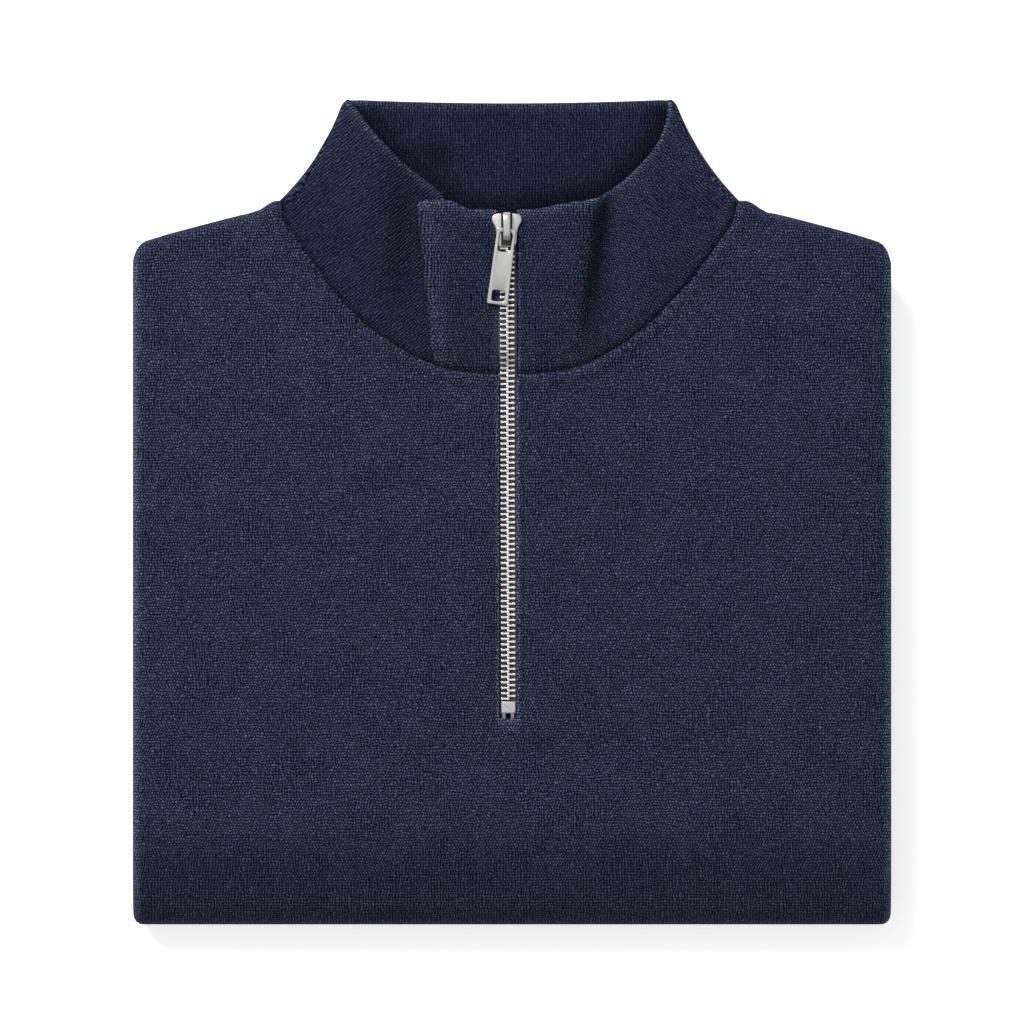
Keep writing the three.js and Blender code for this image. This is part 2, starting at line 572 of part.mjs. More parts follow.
function sliderOutline(grow) {
  const half = SLIDER_OUTLINE.map(([y, width]) => new THREE.Vector2(width + grow, y + Math.sign(y) * grow));
  const other = half.slice().reverse().map(({ x, y }) => new THREE.Vector2(-x, y));
  return [...half, ...other].reverse().map(({ x, y }) => new THREE.Vector2(x + SLIDER.x, y + SLIDER.y));
}

// An arch over the tab's bar, from one end of the top plate to the other
function bridge(base) {
  const arch = new THREE.Shape();
  arch.moveTo(...BRIDGE_START);
  BRIDGE_TOP.forEach(({ by, to }) => (by ? arch.quadraticCurveTo(...by, ...to) : arch.lineTo(...to)));
  arch.closePath();
  const settings = { depth: SLIDER.bridgeWidth, bevelEnabled: false, curveSegments: 4 };
  const bar = new THREE.ExtrudeGeometry(arch, settings);
  const axes = new THREE.Matrix4().makeBasis(
    new THREE.Vector3(0, 1, 0), new THREE.Vector3(0, 0, 1), new THREE.Vector3(1, 0, 0),
  );
  return bar.applyMatrix4(axes).translate(SLIDER.x - SLIDER.bridgeWidth / 2, SLIDER.y, base);
}

function slider() {
  const z = zipZ(SLIDER.y);
  const top = z + SLIDER.room / 2;
  const bottom = z - SLIDER.room / 2;
  const { halfWidth, above, corner, sunk } = SLIDER_POST;
  const [left, right] = [SLIDER.x - halfWidth, SLIDER.x + halfWidth];
  const post = roundedRectangle(left, CHAIN_TOP_Y + GAP, right, SLIDER.y + above, corner);
  const pieces = [
    plate(sliderOutline(0), top, top + SLIDER.plate),
    plate(sliderOutline(0), bottom - SLIDER.plate, bottom),
    plate(post, bottom - sunk, top + sunk),
    bridge(top + SLIDER.plate),
  ];
  return toGeometry(pieces.map(toSolid).reduce((whole, piece) => whole.add(piece)));
}

// Drawn with its hinge at the origin and its end towards -Y
function pullTab() {
  const { length, width, headWidth, thickness, bar, eyeWidth, eyeLength, slotWidth, slotLength } = TAB;
  const outline = roundedRectangle(-width / 2, -length, width / 2, bar / 2, TAB.corner);
  outline.forEach((point) => {
    point.x *= mix(1, headWidth / width, smooth((point.y - TAB_NECK.start) / TAB_NECK.length));
  });
  const eyeEnd = -bar / 2 - eyeLength;
  const eye = roundedRectangle(-eyeWidth / 2, eyeEnd, eyeWidth / 2, -bar / 2, TAB.eyeCorner);
  const slotEnd = -length + TAB.slotFromEnd;
  const slotTop = slotEnd + slotLength;
  const slot = roundedRectangle(-slotWidth / 2, slotEnd, slotWidth / 2, slotTop, TAB.slotCorner);
  return plate(outline, -thickness / 2, thickness / 2, [eye, slot]);
}

// The collar is cut away round the slider, and above it up to the top edge
const NOTCH = { bottom: 20, top: 40, above: 8, aboveStart: 3.4 };

function collar() {
  const wall = toSolid(lattice(COLLAR_LINES.length - 1, COLLAR_ROWS, 1, collarPoint));
  const notch = toSolid(plate(sliderOutline(SLIDER_CLEARANCE), NOTCH.bottom, NOTCH.top));
  const widest = Math.max(...SLIDER_OUTLINE.map(([, width]) => width));
  const above = new THREE.BoxGeometry(2 * (widest + SLIDER_CLEARANCE), NOTCH.above, NOTCH.top - NOTCH.bottom);
  const middleY = SLIDER.y + NOTCH.aboveStart + NOTCH.above / 2;
  above.translate(SLIDER.x, middleY, (NOTCH.bottom + NOTCH.top) / 2);
  return toGeometry(wall.subtract(notch).subtract(toSolid(above)));
}

const navyKnit = { color: '#272d3e', roughness: 0.95, metalness: 0 };
const navyTape = { color: '#20253a', roughness: 0.9, metalness: 0 };
const brightMetal = { color: '#c9cbd0', roughness: 0.28, metalness: 1 };

const sweater = new THREE.Group();

function add(name, geometry, finish, parent = sweater) {
  const mesh = new THREE.Mesh(geometry, new THREE.MeshStandardMaterial(finish));
  mesh.name = name;
  parent.add(mesh);
  return mesh;
}

add('front_panel', frontPanel(), navyKnit);
add('back_panel', lattice(2 * BACK_COLUMNS.length, PACK_ROWS, LAYER_CELLS, backPanelPoint), navyKnit);
add('sleeve_left', sleeve(-1), navyKnit);
add('sleeve_right', sleeve(1), navyKnit);
add('collar', collar(), navyKnit);
add('zip_tape_left', zipTape(-1), navyTape);
add('zip_tape_right', zipTape(1), navyTape);
add('zip_teeth_left', zipTeeth(-1), brightMetal);
add('zip_teeth_right', zipTeeth(1), brightMetal);
add('bottom_stop', bottomStop(), brightMetal);
add('slider', slider(), brightMetal);

const hinge = new THREE.Group();
hinge.position.set(TAB_HINGE.x, TAB_HINGE.y, zipZ(SLIDER.y) + TAB_HINGE.aboveZip);
hinge.rotation.set(TAB_PITCH, 0, TAB_SWING, 'ZXY');
sweater.add(hinge);
add('pull_tab', pullTab(), brightMetal, hinge);

export default sweater;
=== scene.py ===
# %% [markdown]
# # A quarter-zip sweater, folded flat
# The sweater lies face up: its sides and sleeves are folded behind it, and its lower half is folded up
# underneath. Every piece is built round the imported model, which is loaded first and keeps its size.
# Shapes are worked out in millimetres, as on the pattern table, and become metres when a mesh is made.

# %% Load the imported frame
import math

import bpy
import numpy as np
from mathutils import Matrix


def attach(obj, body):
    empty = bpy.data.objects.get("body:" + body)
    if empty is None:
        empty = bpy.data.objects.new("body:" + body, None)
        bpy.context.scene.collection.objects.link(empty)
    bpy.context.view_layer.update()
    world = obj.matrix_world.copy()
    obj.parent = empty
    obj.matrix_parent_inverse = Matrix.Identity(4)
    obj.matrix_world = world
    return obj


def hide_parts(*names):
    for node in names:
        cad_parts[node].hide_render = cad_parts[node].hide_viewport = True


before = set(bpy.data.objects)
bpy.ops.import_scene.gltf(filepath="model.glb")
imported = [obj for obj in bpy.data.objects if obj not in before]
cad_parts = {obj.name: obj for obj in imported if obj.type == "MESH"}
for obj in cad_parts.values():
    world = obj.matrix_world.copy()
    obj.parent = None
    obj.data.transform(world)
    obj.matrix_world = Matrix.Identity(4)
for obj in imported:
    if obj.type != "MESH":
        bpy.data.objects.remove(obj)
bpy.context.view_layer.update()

MM = 0.001

# %% [markdown]
# ## Camera, floor and light
# The picture is taken from straight above, from far off, so a long lens stands high over the chest. Its
# distance follows from the width that the picture shows at the height of the cloth. The floor is a pale
# sheet that glows a little, as a light table does, so shadows stay faint. A pale sky gives the even light,
# a large lamp at the upper left gives the shade, and a weak, wide one overhead softens it.

# %% Camera
PICTURE_WIDTH = 430.1 * MM
CHEST_HEIGHT = 28
LENS = 400
SENSOR = 36
camera_height = CHEST_HEIGHT * MM + PICTURE_WIDTH * LENS / SENSOR
bpy.ops.object.camera_add(location=(0, 0, camera_height), rotation=(0, 0, 0))
camera = bpy.context.object
camera.data.lens = LENS
camera.data.sensor_width = SENSOR
bpy.context.scene.camera = camera
print("camera stands", round(camera_height, 3), "m over the table")

# %% Floor and light
FLOOR_SIZE = 8
FLOOR_DROP = 0.4 * MM
FLOOR_GLOW = 0.64
SKY_STRENGTH = 0.3


def plain_material(name, colour, roughness, glow):
    material = bpy.data.materials.new(name)
    material.use_nodes = True
    shader = material.node_tree.nodes["Principled BSDF"]
    shader.inputs["Base Color"].default_value = (*colour, 1)
    shader.inputs["Roughness"].default_value = roughness
    shader.inputs["Emission Color"].default_value = (1, 1, 1, 1)
    shader.inputs["Emission Strength"].default_value = glow
    return material


def lamp(name, place, size, power):
    """A square lamp that looks at the middle of the table. Its place and size are in metres."""
    bpy.ops.object.light_add(type="AREA", location=place)
    light = bpy.context.object
    light.name = name
    light.data.size = size
    light.data.energy = power
    light.rotation_euler = (-light.location).to_track_quat("-Z", "Y").to_euler()
    light.visible_camera = False


bpy.ops.mesh.primitive_plane_add(size=FLOOR_SIZE, location=(0, 0, -FLOOR_DROP))
floor = bpy.context.object
floor.name = "floor"
floor.data.materials.append(plain_material("White light table", (0.85, 0.85, 0.85), 0.8, FLOOR_GLOW))
sky = bpy.data.worlds.new("Pale sky")
sky.use_nodes = True
sky.node_tree.nodes["Background"].inputs["Color"].default_value = (1, 1, 1, 1)
sky.node_tree.nodes["Background"].inputs["Strength"].default_value = SKY_STRENGTH
bpy.context.scene.world = sky
lamp("window", place=(-0.95, 1.35, 1.45), size=1.0, power=50)
lamp("soft box", place=(0, 0.1, 2.4), size=1.7, power=6)
bpy.context.scene.view_settings.view_transform = "Standard"

# %% [markdown]
# ## A maker's tools
# These few helpers are used all over: choosing one object, finishing it with a modifier or in edit mode,
# and telling the frame which body it rides on and what it replaces.

# %% Choosing and finishing
WELD = 0.02 * MM


def only(piece):
    bpy.ops.object.select_all(action="DESELECT")
    piece.select_set(True)
    bpy.context.view_layer.objects.active = piece


def modify(piece, kind, **settings):
    only(piece)
    bpy.ops.object.modifier_add(type=kind)
    modifier = piece.modifiers[-1]
    for key, value in settings.items():
        setattr(modifier, key, value)
    bpy.ops.object.modifier_apply(modifier=modifier.name)


def edit(piece, *steps):
    only(piece)
    bpy.ops.object.mode_set(mode="EDIT")
    bpy.ops.mesh.select_all(action="SELECT")
    for step in steps:
        step()
    bpy.ops.object.mode_set(mode="OBJECT")


def turn_out():
    bpy.ops.mesh.normals_make_consistent(inside=False)


def weld_and_turn_out():
    bpy.ops.mesh.remove_doubles(threshold=WELD)
    turn_out()


def finish(piece, material, nodes, body="garment", smooth_angle=60):
    only(piece)
    bpy.ops.object.shade_smooth_by_angle(angle=math.radians(smooth_angle))
    piece.data.materials.clear()
    piece.data.materials.append(material)
    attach(piece, body)
    if nodes:
        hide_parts(*nodes)
    print(piece.name, "has", len(piece.data.polygons), "faces")


# %% [markdown]
# Cloth is built as a sheet, from rows of points, and the layers inside the pack as the closed skin of a
# block. Both carry two maps: one lays the knit on the flat measure of the cloth, and the other says how far
# the stitches join up into ribs there, and how much lighter the yarn is painted, or below zero how much
# painted shade a crease gets.


# %% Sheets and skins
def piece_from(name, points, faces):
    """A new object from points in metres."""
    mesh = bpy.data.meshes.new(name)
    mesh.from_pydata(points, [], faces)
    piece = bpy.data.objects.new(name, mesh)
    bpy.context.scene.collection.objects.link(piece)
    return piece


def cloth_from(name, points, faces, flat, rib):
    """Cloth from points in millimetres. flat is each face corner's place on the flat cloth. rib is how
    far the stitches join up into ribs there, and how much lighter the yarn is painted, or below zero how
    much painted shade a crease gets."""
    used, index = np.unique(faces, return_inverse=True)
    piece = piece_from(name, (points[used] * MM).tolist(), index.reshape(faces.shape).tolist())
    for layer_name, values in (("Knit", flat * MM), ("Rib", rib)):
        layer = piece.data.uv_layers.new(name=layer_name)
        layer.data.foreach_set("uv", values.reshape(-1))
    return piece


def sheet(name, points, flat, rib=None, keep=None, flip=False):
    """A sheet of rows of points. flat and rib have a pair for each point, or for each face corner."""
    rows, columns = points.shape[:2]
    number = np.arange(rows * columns).reshape(rows, columns)
    corners = [number[:-1, :-1], number[1:, :-1], number[1:, 1:], number[:-1, 1:]]
    faces = np.stack(corners, axis=-1)
    rib = np.zeros(flat.shape) if rib is None else rib
    flat, rib = (pair.reshape(-1, 2)[faces] if pair.ndim == 3 else pair for pair in (flat, rib))
    if flip:
        faces, flat, rib = faces[..., ::-1], flat[..., ::-1, :], rib[..., ::-1, :]
    chosen = np.ones(faces.shape[:2], bool) if keep is None else keep
    return cloth_from(name, points.reshape(-1, 3), faces[chosen], flat[chosen], rib[chosen])


def skin(name, place, across, along, through):
    """The closed skin of a block of cells whose corners stand at place(a, b, c), three shares."""
    sizes = (across, along, through)
    points, faces = [], []
    for axis in range(3):
        first, second = [n for n in range(3) if n != axis]
        for end in (0, 1):
            start = len(points)
            for i in range(sizes[first] + 1):
                for j in range(sizes[second] + 1):
                    shares = [0, 0, 0]
                    shares[axis] = end
                    shares[first] = i / sizes[first]
                    shares[second] = j / sizes[second]
                    points.append(place(*shares))
            step = sizes[second] + 1
            for i in range(sizes[first]):
                for j in range(sizes[second]):
                    a = start + i * step + j
                    faces.append((a, a + step, a + step + 1, a + 1))
    points, faces = np.array(points, float), np.array(faces)
    flat = points[faces][..., :2]
    piece = cloth_from(name, points, faces, flat, np.zeros(flat.shape))
    edit(piece, weld_and_turn_out)
    map_by_side(piece)
    return piece


def map_by_side(piece):
    """Lays the cloth's pattern on each face from the side that it looks to."""
    mesh = piece.data
    layer = mesh.uv_layers["Knit"].data
    for face in mesh.polygons:
        nx, ny, nz = (abs(n) for n in face.normal)
        pick = (0, 1) if nz >= max(nx, ny) else (0, 2) if ny >= nx else (1, 2)
        for corner in face.loop_indices:
            place = mesh.vertices[mesh.loops[corner].vertex_index].co
            layer[corner].uv = (place[pick[0]], place[pick[1]])


# %% Numbers between numbers
def mix(start, end, share):
    return start + (end - start) * share


def smooth(share):
    share = min(1.0, max(0.0, share))
    return share * share * (3 - 2 * share)


def bend(start, middle, end, share):
    towards_end = end * share * (2 * share - 1)
    return start * (1 - share) * (1 - 2 * share) + middle * 4 * share * (1 - share) + towards_end


def read_table(rows, place):
    return float(np.interp(place, [row[0] for row in rows], [row[1] for row in rows]))


def spline(points, share):
    """A smooth curve through points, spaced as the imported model's curves are."""
    points = [np.array(p, float) for p in points]
    step = share * (len(points) - 1)
    n = min(int(step), len(points) - 2)
    w = step - n
    p1, p2 = points[n], points[n + 1]
    p0 = points[n - 1] if n > 0 else 2 * p1 - p2
    p3 = points[n + 2] if n + 2 < len(points) else 2 * p2 - p1
    d0, d1, d2 = (math.sqrt(max(1e-8, np.linalg.norm(b - a))) for a, b in ((p0, p1), (p1, p2), (p2, p3)))
    t1 = ((p1 - p0) / d0 - (p2 - p0) / (d0 + d1) + (p2 - p1) / d1) * d1
    t2 = ((p2 - p1) / d1 - (p3 - p1) / (d1 + d2) + (p3 - p2) / d2) * d1
    return p1 + t1 * w + (3 * (p2 - p1) - 2 * t1 - t2) * w**2 + (2 * (p1 - p2) + t1 + t2) * w**3


# %% [markdown]
# ## A workbench for finishes
# A finish is a small tree of shader nodes. Written node by node it is long and hard to read, so a number
# on the surface is wrapped in a class: adding or multiplying two of them adds the Math node that does it.


# %% The workbench
class Number:
    """A number or colour that varies over a surface, as it leaves a node."""

    def __init__(self, bench, socket):
        self.bench = bench
        self.socket = socket

    def maths(self, operation, *values):
        inputs = dict(enumerate(values))
        return self.bench.node("ShaderNodeMath", {"operation": operation}, inputs)[0]

    def __add__(self, other):
        return self.maths("ADD", self, other)

    def __sub__(self, other):
        return self.maths("SUBTRACT", self, other)

    def __mul__(self, other):
        return self.maths("MULTIPLY", self, other)

    def __truediv__(self, other):
        return self.maths("DIVIDE", self, other)

    def __rsub__(self, other):
        return self.maths("SUBTRACT", other, self)

    def __pow__(self, other):
        return self.maths("POWER", self, other)

    def __abs__(self):
        return self.maths("ABSOLUTE", self)

    __radd__ = __add__
    __rmul__ = __mul__

    def part(self):
        return self.maths("FRACT", self)

    def whole(self):
        return self.maths("FLOOR", self)

    def wave(self):
        return self.maths("SINE", self)

    def within(self, low, high):
        inputs = {0: self, 1: low, 2: high, 3: 0.0, 4: 1.0}
        return self.bench.node("ShaderNodeMapRange", {"clamp": True}, inputs)[0]


class Bench:
    """One material, and the nodes that are put on it."""

    def __init__(self, name):
        self.material = bpy.data.materials.new(name)
        self.material.use_nodes = True
        self.tree = self.material.node_tree
        self.tree.nodes.clear()

    def node(self, kind, settings=None, inputs=None):
        made = self.tree.nodes.new(kind)
        for key, value in (settings or {}).items():
            setattr(made, key, value)
        for key, value in (inputs or {}).items():
            if isinstance(value, Number):
                self.tree.links.new(value.socket, made.inputs[key])
            else:
                made.inputs[key].default_value = value
        return [Number(self, socket) for socket in made.outputs]

    def colours(self, share, start, end):
        start, end = ((*c, 1) if isinstance(c, tuple) else c for c in (start, end))
        return self.node("ShaderNodeMix", {"data_type": "RGBA"}, {0: share, 6: start, 7: end})[2]

    def noise(self, place, scale, detail):
        return self.node("ShaderNodeTexNoise", {}, {"Vector": place, "Scale": scale, "Detail": detail})[0]

    def bump(self, height, distance, strength=1.0):
        inputs = {"Height": height, "Distance": distance, "Strength": strength}
        return self.node("ShaderNodeBump", {}, inputs)[0]

    def surface(self, **inputs):
        named = {key.replace("_", " "): value for key, value in inputs.items()}
        shader = self.node("ShaderNodeBsdfPrincipled", {}, named)[0]
        self.node("ShaderNodeOutputMaterial", {}, {"Surface": shader})
        return self.material


# %% [markdown]
# ## The knit
# The body is a fine moss knit: every stitch shows as a small bump, which its colour paints as well, with
# painted light on its top and painted shade round it, and in patches each course stands half a stitch to the
# side of the last. In the collar the bumps join up into ribs, which darken the yarn, partly as painted shade.
# Both are drawn on the cloth's own flat measure, so they follow every fold. A little noise pulls the
# stitches about, as a knitting machine and washing do, and each stitch catches its own amount of light.
# Where the cloth turns over, its yarn is painted pale as painted highlight; beside the zip it is paler too;
# and down in a crease it is painted nearly black as painted shade.

# %% The knit finish
STITCH_WIDTH = 1.24
STITCH_HEIGHT = 1.2
# How far the stitches wander, in stitches, and by what share less in the ribs
WANDER_ACROSS = 2.1
WANDER_ALONG = 1.9
RIB_HOLD = 0.3
# What a stitch's top, its own luck, the patch it is in and the fuzz over it add to its light
TOP_LIGHT = 0.62
LUCK_LIGHT = 0.3
PATCH_LIGHT = 0.16
FUZZ_LIGHT = 0.95
# Ribs darken the yarn by this share, partly as painted shade
RIB_SHADE = 0.42
YARN_CONTRAST = 1.72
# From the deepest to the lit navy: the yarn, with painted shade between the stitches and painted light on
# their tops. The pale navy is painted highlight, and also the paler yarn beside the zip; the near-black is
# painted shade in creases
DEEP_NAVY = (0.0005, 0.002, 0.0135)
LIT_NAVY = (0.139, 0.162, 0.255)
PALE_EDGE_NAVY = (0.36, 0.43, 0.64)
PAINTED_SHADE_NAVY = (0.0004, 0.0008, 0.0022)


def knit(name, brightness=1.0):
    bench = Bench(name)
    cloth = bench.node("ShaderNodeUVMap", {"uv_map": "Knit"})[0]
    kind = bench.node("ShaderNodeUVMap", {"uv_map": "Rib"})[0]
    rib, wear, _ = bench.node("ShaderNodeSeparateXYZ", {}, {0: kind})
    place = bench.node("ShaderNodeVectorMath", {"operation": "SCALE"}, {0: cloth, "Scale": 1 / MM})[0]
    across, along, _ = bench.node("ShaderNodeSeparateXYZ", {}, {0: place})
    pull = bench.node("ShaderNodeTexNoise", {}, {"Vector": place, "Scale": 0.4, "Detail": 2.0})[1]
    pull_across, pull_along, _ = bench.node("ShaderNodeSeparateXYZ", {}, {0: pull})
    loose = 1 - rib * RIB_HOLD
    courses = along / STITCH_HEIGHT + (pull_along - 0.5) * loose * WANDER_ALONG
    course = courses.whole()
    patches = bench.noise(place, 0.05, 3.0)
    half_step = course * 0.5 * (1 - (rib + 0.5).whole()) * (patches + 0.53).whole()
    stitches = across / STITCH_WIDTH + half_step + (pull_across - 0.5) * loose * WANDER_ACROSS
    beside = abs(stitches.part() - 0.5) * 2
    above = abs(courses.part() - 0.5) * 2 * (0.86 - rib * 0.38)
    bump = 1 - ((beside * beside + above * above) ** 0.5).within(0.1, 1.15)
    stitch = bench.node("ShaderNodeCombineXYZ", {}, {0: stitches.whole(), 1: course})[0]
    luck = bench.node("ShaderNodeTexWhiteNoise", {"noise_dimensions": "2D"}, {"Vector": stitch})[0]
    fuzz = bench.noise(place, 2.0, 1.0)
    bright = bump * (TOP_LIGHT + luck * LUCK_LIGHT) + (patches - 0.5) * PATCH_LIGHT
    bright = bright + (fuzz - 0.5) * FUZZ_LIGHT + 0.02
    # Below zero the second map paints shade into creases; above zero it paints the yarn paler
    painted_crease_shade = (0 - wear).within(0, 1)
    share = (bright * (1 - rib * RIB_SHADE)).within(0.02, 1.0) ** YARN_CONTRAST
    lit = bench.colours(wear.within(0, 1), tuple(brightness * c for c in LIT_NAVY), PALE_EDGE_NAVY)
    yarn = bench.colours(share, DEEP_NAVY, lit)
    return bench.surface(
        Base_Color=bench.colours(painted_crease_shade * 0.85, yarn, PAINTED_SHADE_NAVY),
        Normal=bench.bump(bump + fuzz * 0.3, 0.5 * MM, 0.7),
        Roughness=0.95,
        Specular_IOR_Level=0.045,
        Sheen_Weight=0.02,
        Sheen_Roughness=0.5,
        Sheen_Tint=(0.5, 0.56, 0.75, 1),
    )


body_knit = knit("Navy body knit")
collar_knit = knit("Navy collar rib", brightness=0.88)

# %% [markdown]
# ## The folded pack
# The chest runs down the top, sinks a little, rolls round the bottom fold and comes back underneath. One
# function gives a place on that path, and another goes a depth inwards from it. The side folds wrap the
# panel round to the back. The front and back panels use these two.

# %% Measures of the pack
PACK_HALF_WIDTH = 159.5
BOTTOM_FOLD_Y = -173.8
HEM_Y = 99
FLAP_WIDTH = 111
UPPER_THICKNESS = 11.3
LOWER_THICKNESS = 10.3
FOLD_THICKNESS = 8
CLOTH = 2.2
GAP = 0.3
SINK_LENGTH = 34
SINK_ANGLE = math.radians(16)
SINK_DEPTH = 0.5 * SINK_LENGTH * math.tan(SINK_ANGLE)
ROLL_RADIUS = (CHEST_HEIGHT - SINK_DEPTH) / (1 + math.cos(SINK_ANGLE))
ROLL_Y = BOTTOM_FOLD_Y + ROLL_RADIUS
SINK_START_Y = ROLL_Y - ROLL_RADIUS * math.sin(SINK_ANGLE) + SINK_LENGTH
UNDER_LENGTH = HEM_Y - ROLL_Y
UNDER_RISE = 28
NECK_MIDDLE_X = -1.3
SHOULDER_ROLL = 5
SHOULDER_ROLL_ANGLE = math.radians(80)
SHOULDER_MIDDLE_X = -0.4
SHOULDER_LINE = [
    (0, 130.9), (99.2, 130.9), (101, 130.2), (103.8, 128.4), (105.6, 126.8), (107, 126.2), (112.6, 125.2),
    (119, 123.6), (132, 120.2), (144, 117), (153.7, 114), (156.6, 112.8), (158.5, 111.4), (159.8, 109),
]
FLAP_TOP_Y = 102
FLAP_SLOPE = 0.22
# Low swells and dips of the chest: middle, reach each way, height
SWELLS = [
    (-18, -15, 13, 90, 0.7), (16, -15, 13, 90, 0.7), (54, 0, 34, 44, -0.9), (12, -100, 40, 20, -0.8),
    (-95, -40, 45, 70, 0.5), (110, -70, 40, 50, 0.5),
]
SWELL_FADE_ALONG = 25
SWELL_FADE_ACROSS = 22
TURN_X = PACK_HALF_WIDTH - UPPER_THICKNESS / 2
print("bottom fold turns on a radius of", round(ROLL_RADIUS, 2), "mm")


# %% Places on the pack
def chest_swell(x, y):
    return sum(h * math.exp(-(((x - u) / a) ** 2) - ((y - v) / b) ** 2) for u, v, a, b, h in SWELLS)


def pack_place(stretch, share, shoulder_y):
    """y, z, the way out (y, z) and how thick that half of the pack is."""
    if stretch == "chest":
        return mix(shoulder_y, SINK_START_Y, share), CHEST_HEIGHT, 0, 1, UPPER_THICKNESS
    if stretch == "sink":
        slope = share * math.tan(SINK_ANGLE)
        length = math.hypot(1, slope)
        thick = mix(UPPER_THICKNESS, FOLD_THICKNESS, smooth(share))
        z = CHEST_HEIGHT - share**2 * SINK_DEPTH
        return SINK_START_Y - share * SINK_LENGTH, z, -slope / length, 1 / length, thick
    if stretch == "roll":
        angle = mix(SINK_ANGLE, math.pi, share)
        out_y, out_z = -math.sin(angle), math.cos(angle)
        return ROLL_Y + ROLL_RADIUS * out_y, ROLL_RADIUS * (1 + out_z), out_y, out_z, FOLD_THICKNESS
    thick = mix(FOLD_THICKNESS, LOWER_THICKNESS, min(1, share * UNDER_LENGTH / UNDER_RISE))
    return ROLL_Y + share * UNDER_LENGTH, 0, 0, -1, thick


def cloth_along(stretch, share, y):
    """How far up the flat cloth a place is: y on the chest, and on past it round the fold."""
    if stretch == "chest":
        return y
    if stretch == "sink":
        return SINK_START_Y - share * SINK_LENGTH
    roll_length = ROLL_RADIUS * (math.pi - SINK_ANGLE)
    start = SINK_START_Y - SINK_LENGTH
    return start - share * roll_length if stretch == "roll" else start - roll_length - share * UNDER_LENGTH


def in_pack(stretch, share, x, depth, shoulder_y):
    y, z, out_y, out_z, thick = pack_place(stretch, share, shoulder_y)
    rise = 0
    if out_z > 0.9:
        in_along = smooth((y - SINK_START_Y) / SWELL_FADE_ALONG)
        in_across = smooth((PACK_HALF_WIDTH - abs(x)) / SWELL_FADE_ACROSS)
        rise = in_along * in_across * (1 - smooth(depth / thick)) * chest_swell(x, y)
    return x, y - depth * out_y, z - depth * out_z + rise


# %% [markdown]
# ## The collar's measures
# A stand-up collar laid flat folds in two at its sides. Its front is a U from fold to fold, sewn to the
# neck seam at its foot. The tables hold, from the zip outwards, the foot and head of each line up the
# collar and its height half way and at the head. The extra lines on the left make the edge of the middle
# panel lap over the cloth beside it. The foot line is also the neck seam, so the front panel needs it.

# %% Tables of the collar
COLLAR_WALL = 2.8
COLLAR_HEIGHT = 69
COLLAR_NECK_Z = 26.6
BACK_NECK_DIP = 16
BACK_TOP_DIP = 1.4
FOLD_FLATNESS = 0.5
# At the foot, half way and at the head: the lower layer's height at a fold, and the fold's radius
FOLD_BACK_Z = (18.9, 16.6, 13.4)
FOLD_RADIUS = (3.85, 3.1, 2.4)
# The folds' outer edge, from foot to head
LEFT_FOLD = ((-98.3, 129.8), (-82, 150), (-71, 173.6))
RIGHT_FOLD = ((96.2, 129.6), (79.8, 150.2), (68.6, 173.6))
# Each row: foot x and y, head x and y, height half way, height at the head
LEFT_FRONT = [
    (-5.5, 58.6, -5.7, 127.1, 28.6, 28.8), (-12.4, 58.7, -13, 127.1, 29, 29.3),
    (-19.4, 59.3, -19.4, 127.6, 29.6, 30.1), (-23, 59.8, -24.4, 130.4, 30.2, 30.8),
    (-27.4, 60.7, -31.6, 131.1, 30.6, 31.2), (-30.2, 61.4, -36.6, 130.7, 30.2, 30.7),
    (-31.9, 61.7, -38.8, 130.3, 28.4, 28.6), (-31.8, 61.8, -36.8, 131.4, 24.8, 25),
    (-31.2, 61.9, -29.4, 131.8, 22.2, 22.6), (-33.6, 62.8, -30.8, 134.9, 21.2, 21.8),
    (-39.6, 65.2, -38.6, 141.2, 21.2, 21.2), (-46.4, 69, -45, 146.4, 22.9, 22.4),
    (-52.4, 73, -49.6, 150.8, 25.9, 24), (-57.6, 76.8, -53, 154.4, 27.6, 24.8),
    (-65.4, 83.2, -57.6, 159.2, 27.8, 24.6), (-75.2, 94.4, -61.8, 164.6, 26.8, 22.8),
    (-84.8, 108, -65.4, 169.4, 25.4, 20.8), (-92.4, 118.6, -67.8, 172, 24, 19.2),
    (-95.8, 124.6, -68.2, 173, 23, 18.2),
]
LEFT_HIDDEN_ROWS = (6, 7, 8)
LEFT_CREASE_ROW = 6.4
RIGHT_FRONT = [
    (2.4, 58.6, 2, 127.1, 28.6, 28.8), (9.2, 58.7, 10.2, 127.3, 29, 29.3),
    (16.6, 59.3, 20.6, 129.4, 29.5, 30.1), (22.8, 60.3, 29.6, 130.9, 29.8, 30.5),
    (25.6, 61, 34, 131.4, 28.8, 29.7), (28.8, 61.9, 36.8, 132.3, 25, 26),
    (33.6, 64, 39.4, 134, 22.7, 23.4), (41.2, 68.2, 43.8, 137, 23.2, 23.2),
    (48, 72.6, 48, 140.4, 25.2, 24.2), (55.4, 78.2, 52.2, 144.6, 27, 24.8),
    (65.4, 88, 58, 150.4, 27.2, 24.2), (76.2, 99.8, 62.4, 157.2, 26.2, 22.6),
    (85.4, 112.6, 65, 164.4, 25, 20.8), (90.4, 119.4, 65.8, 169.6, 24, 19.2),
    (93.2, 125, 66, 173, 23, 18.2),
]
RIGHT_CREASE_ROW = 4.6
SHOULDER_TOP_Y = 131.5
SEAM_Y = LEFT_FRONT[0][1]

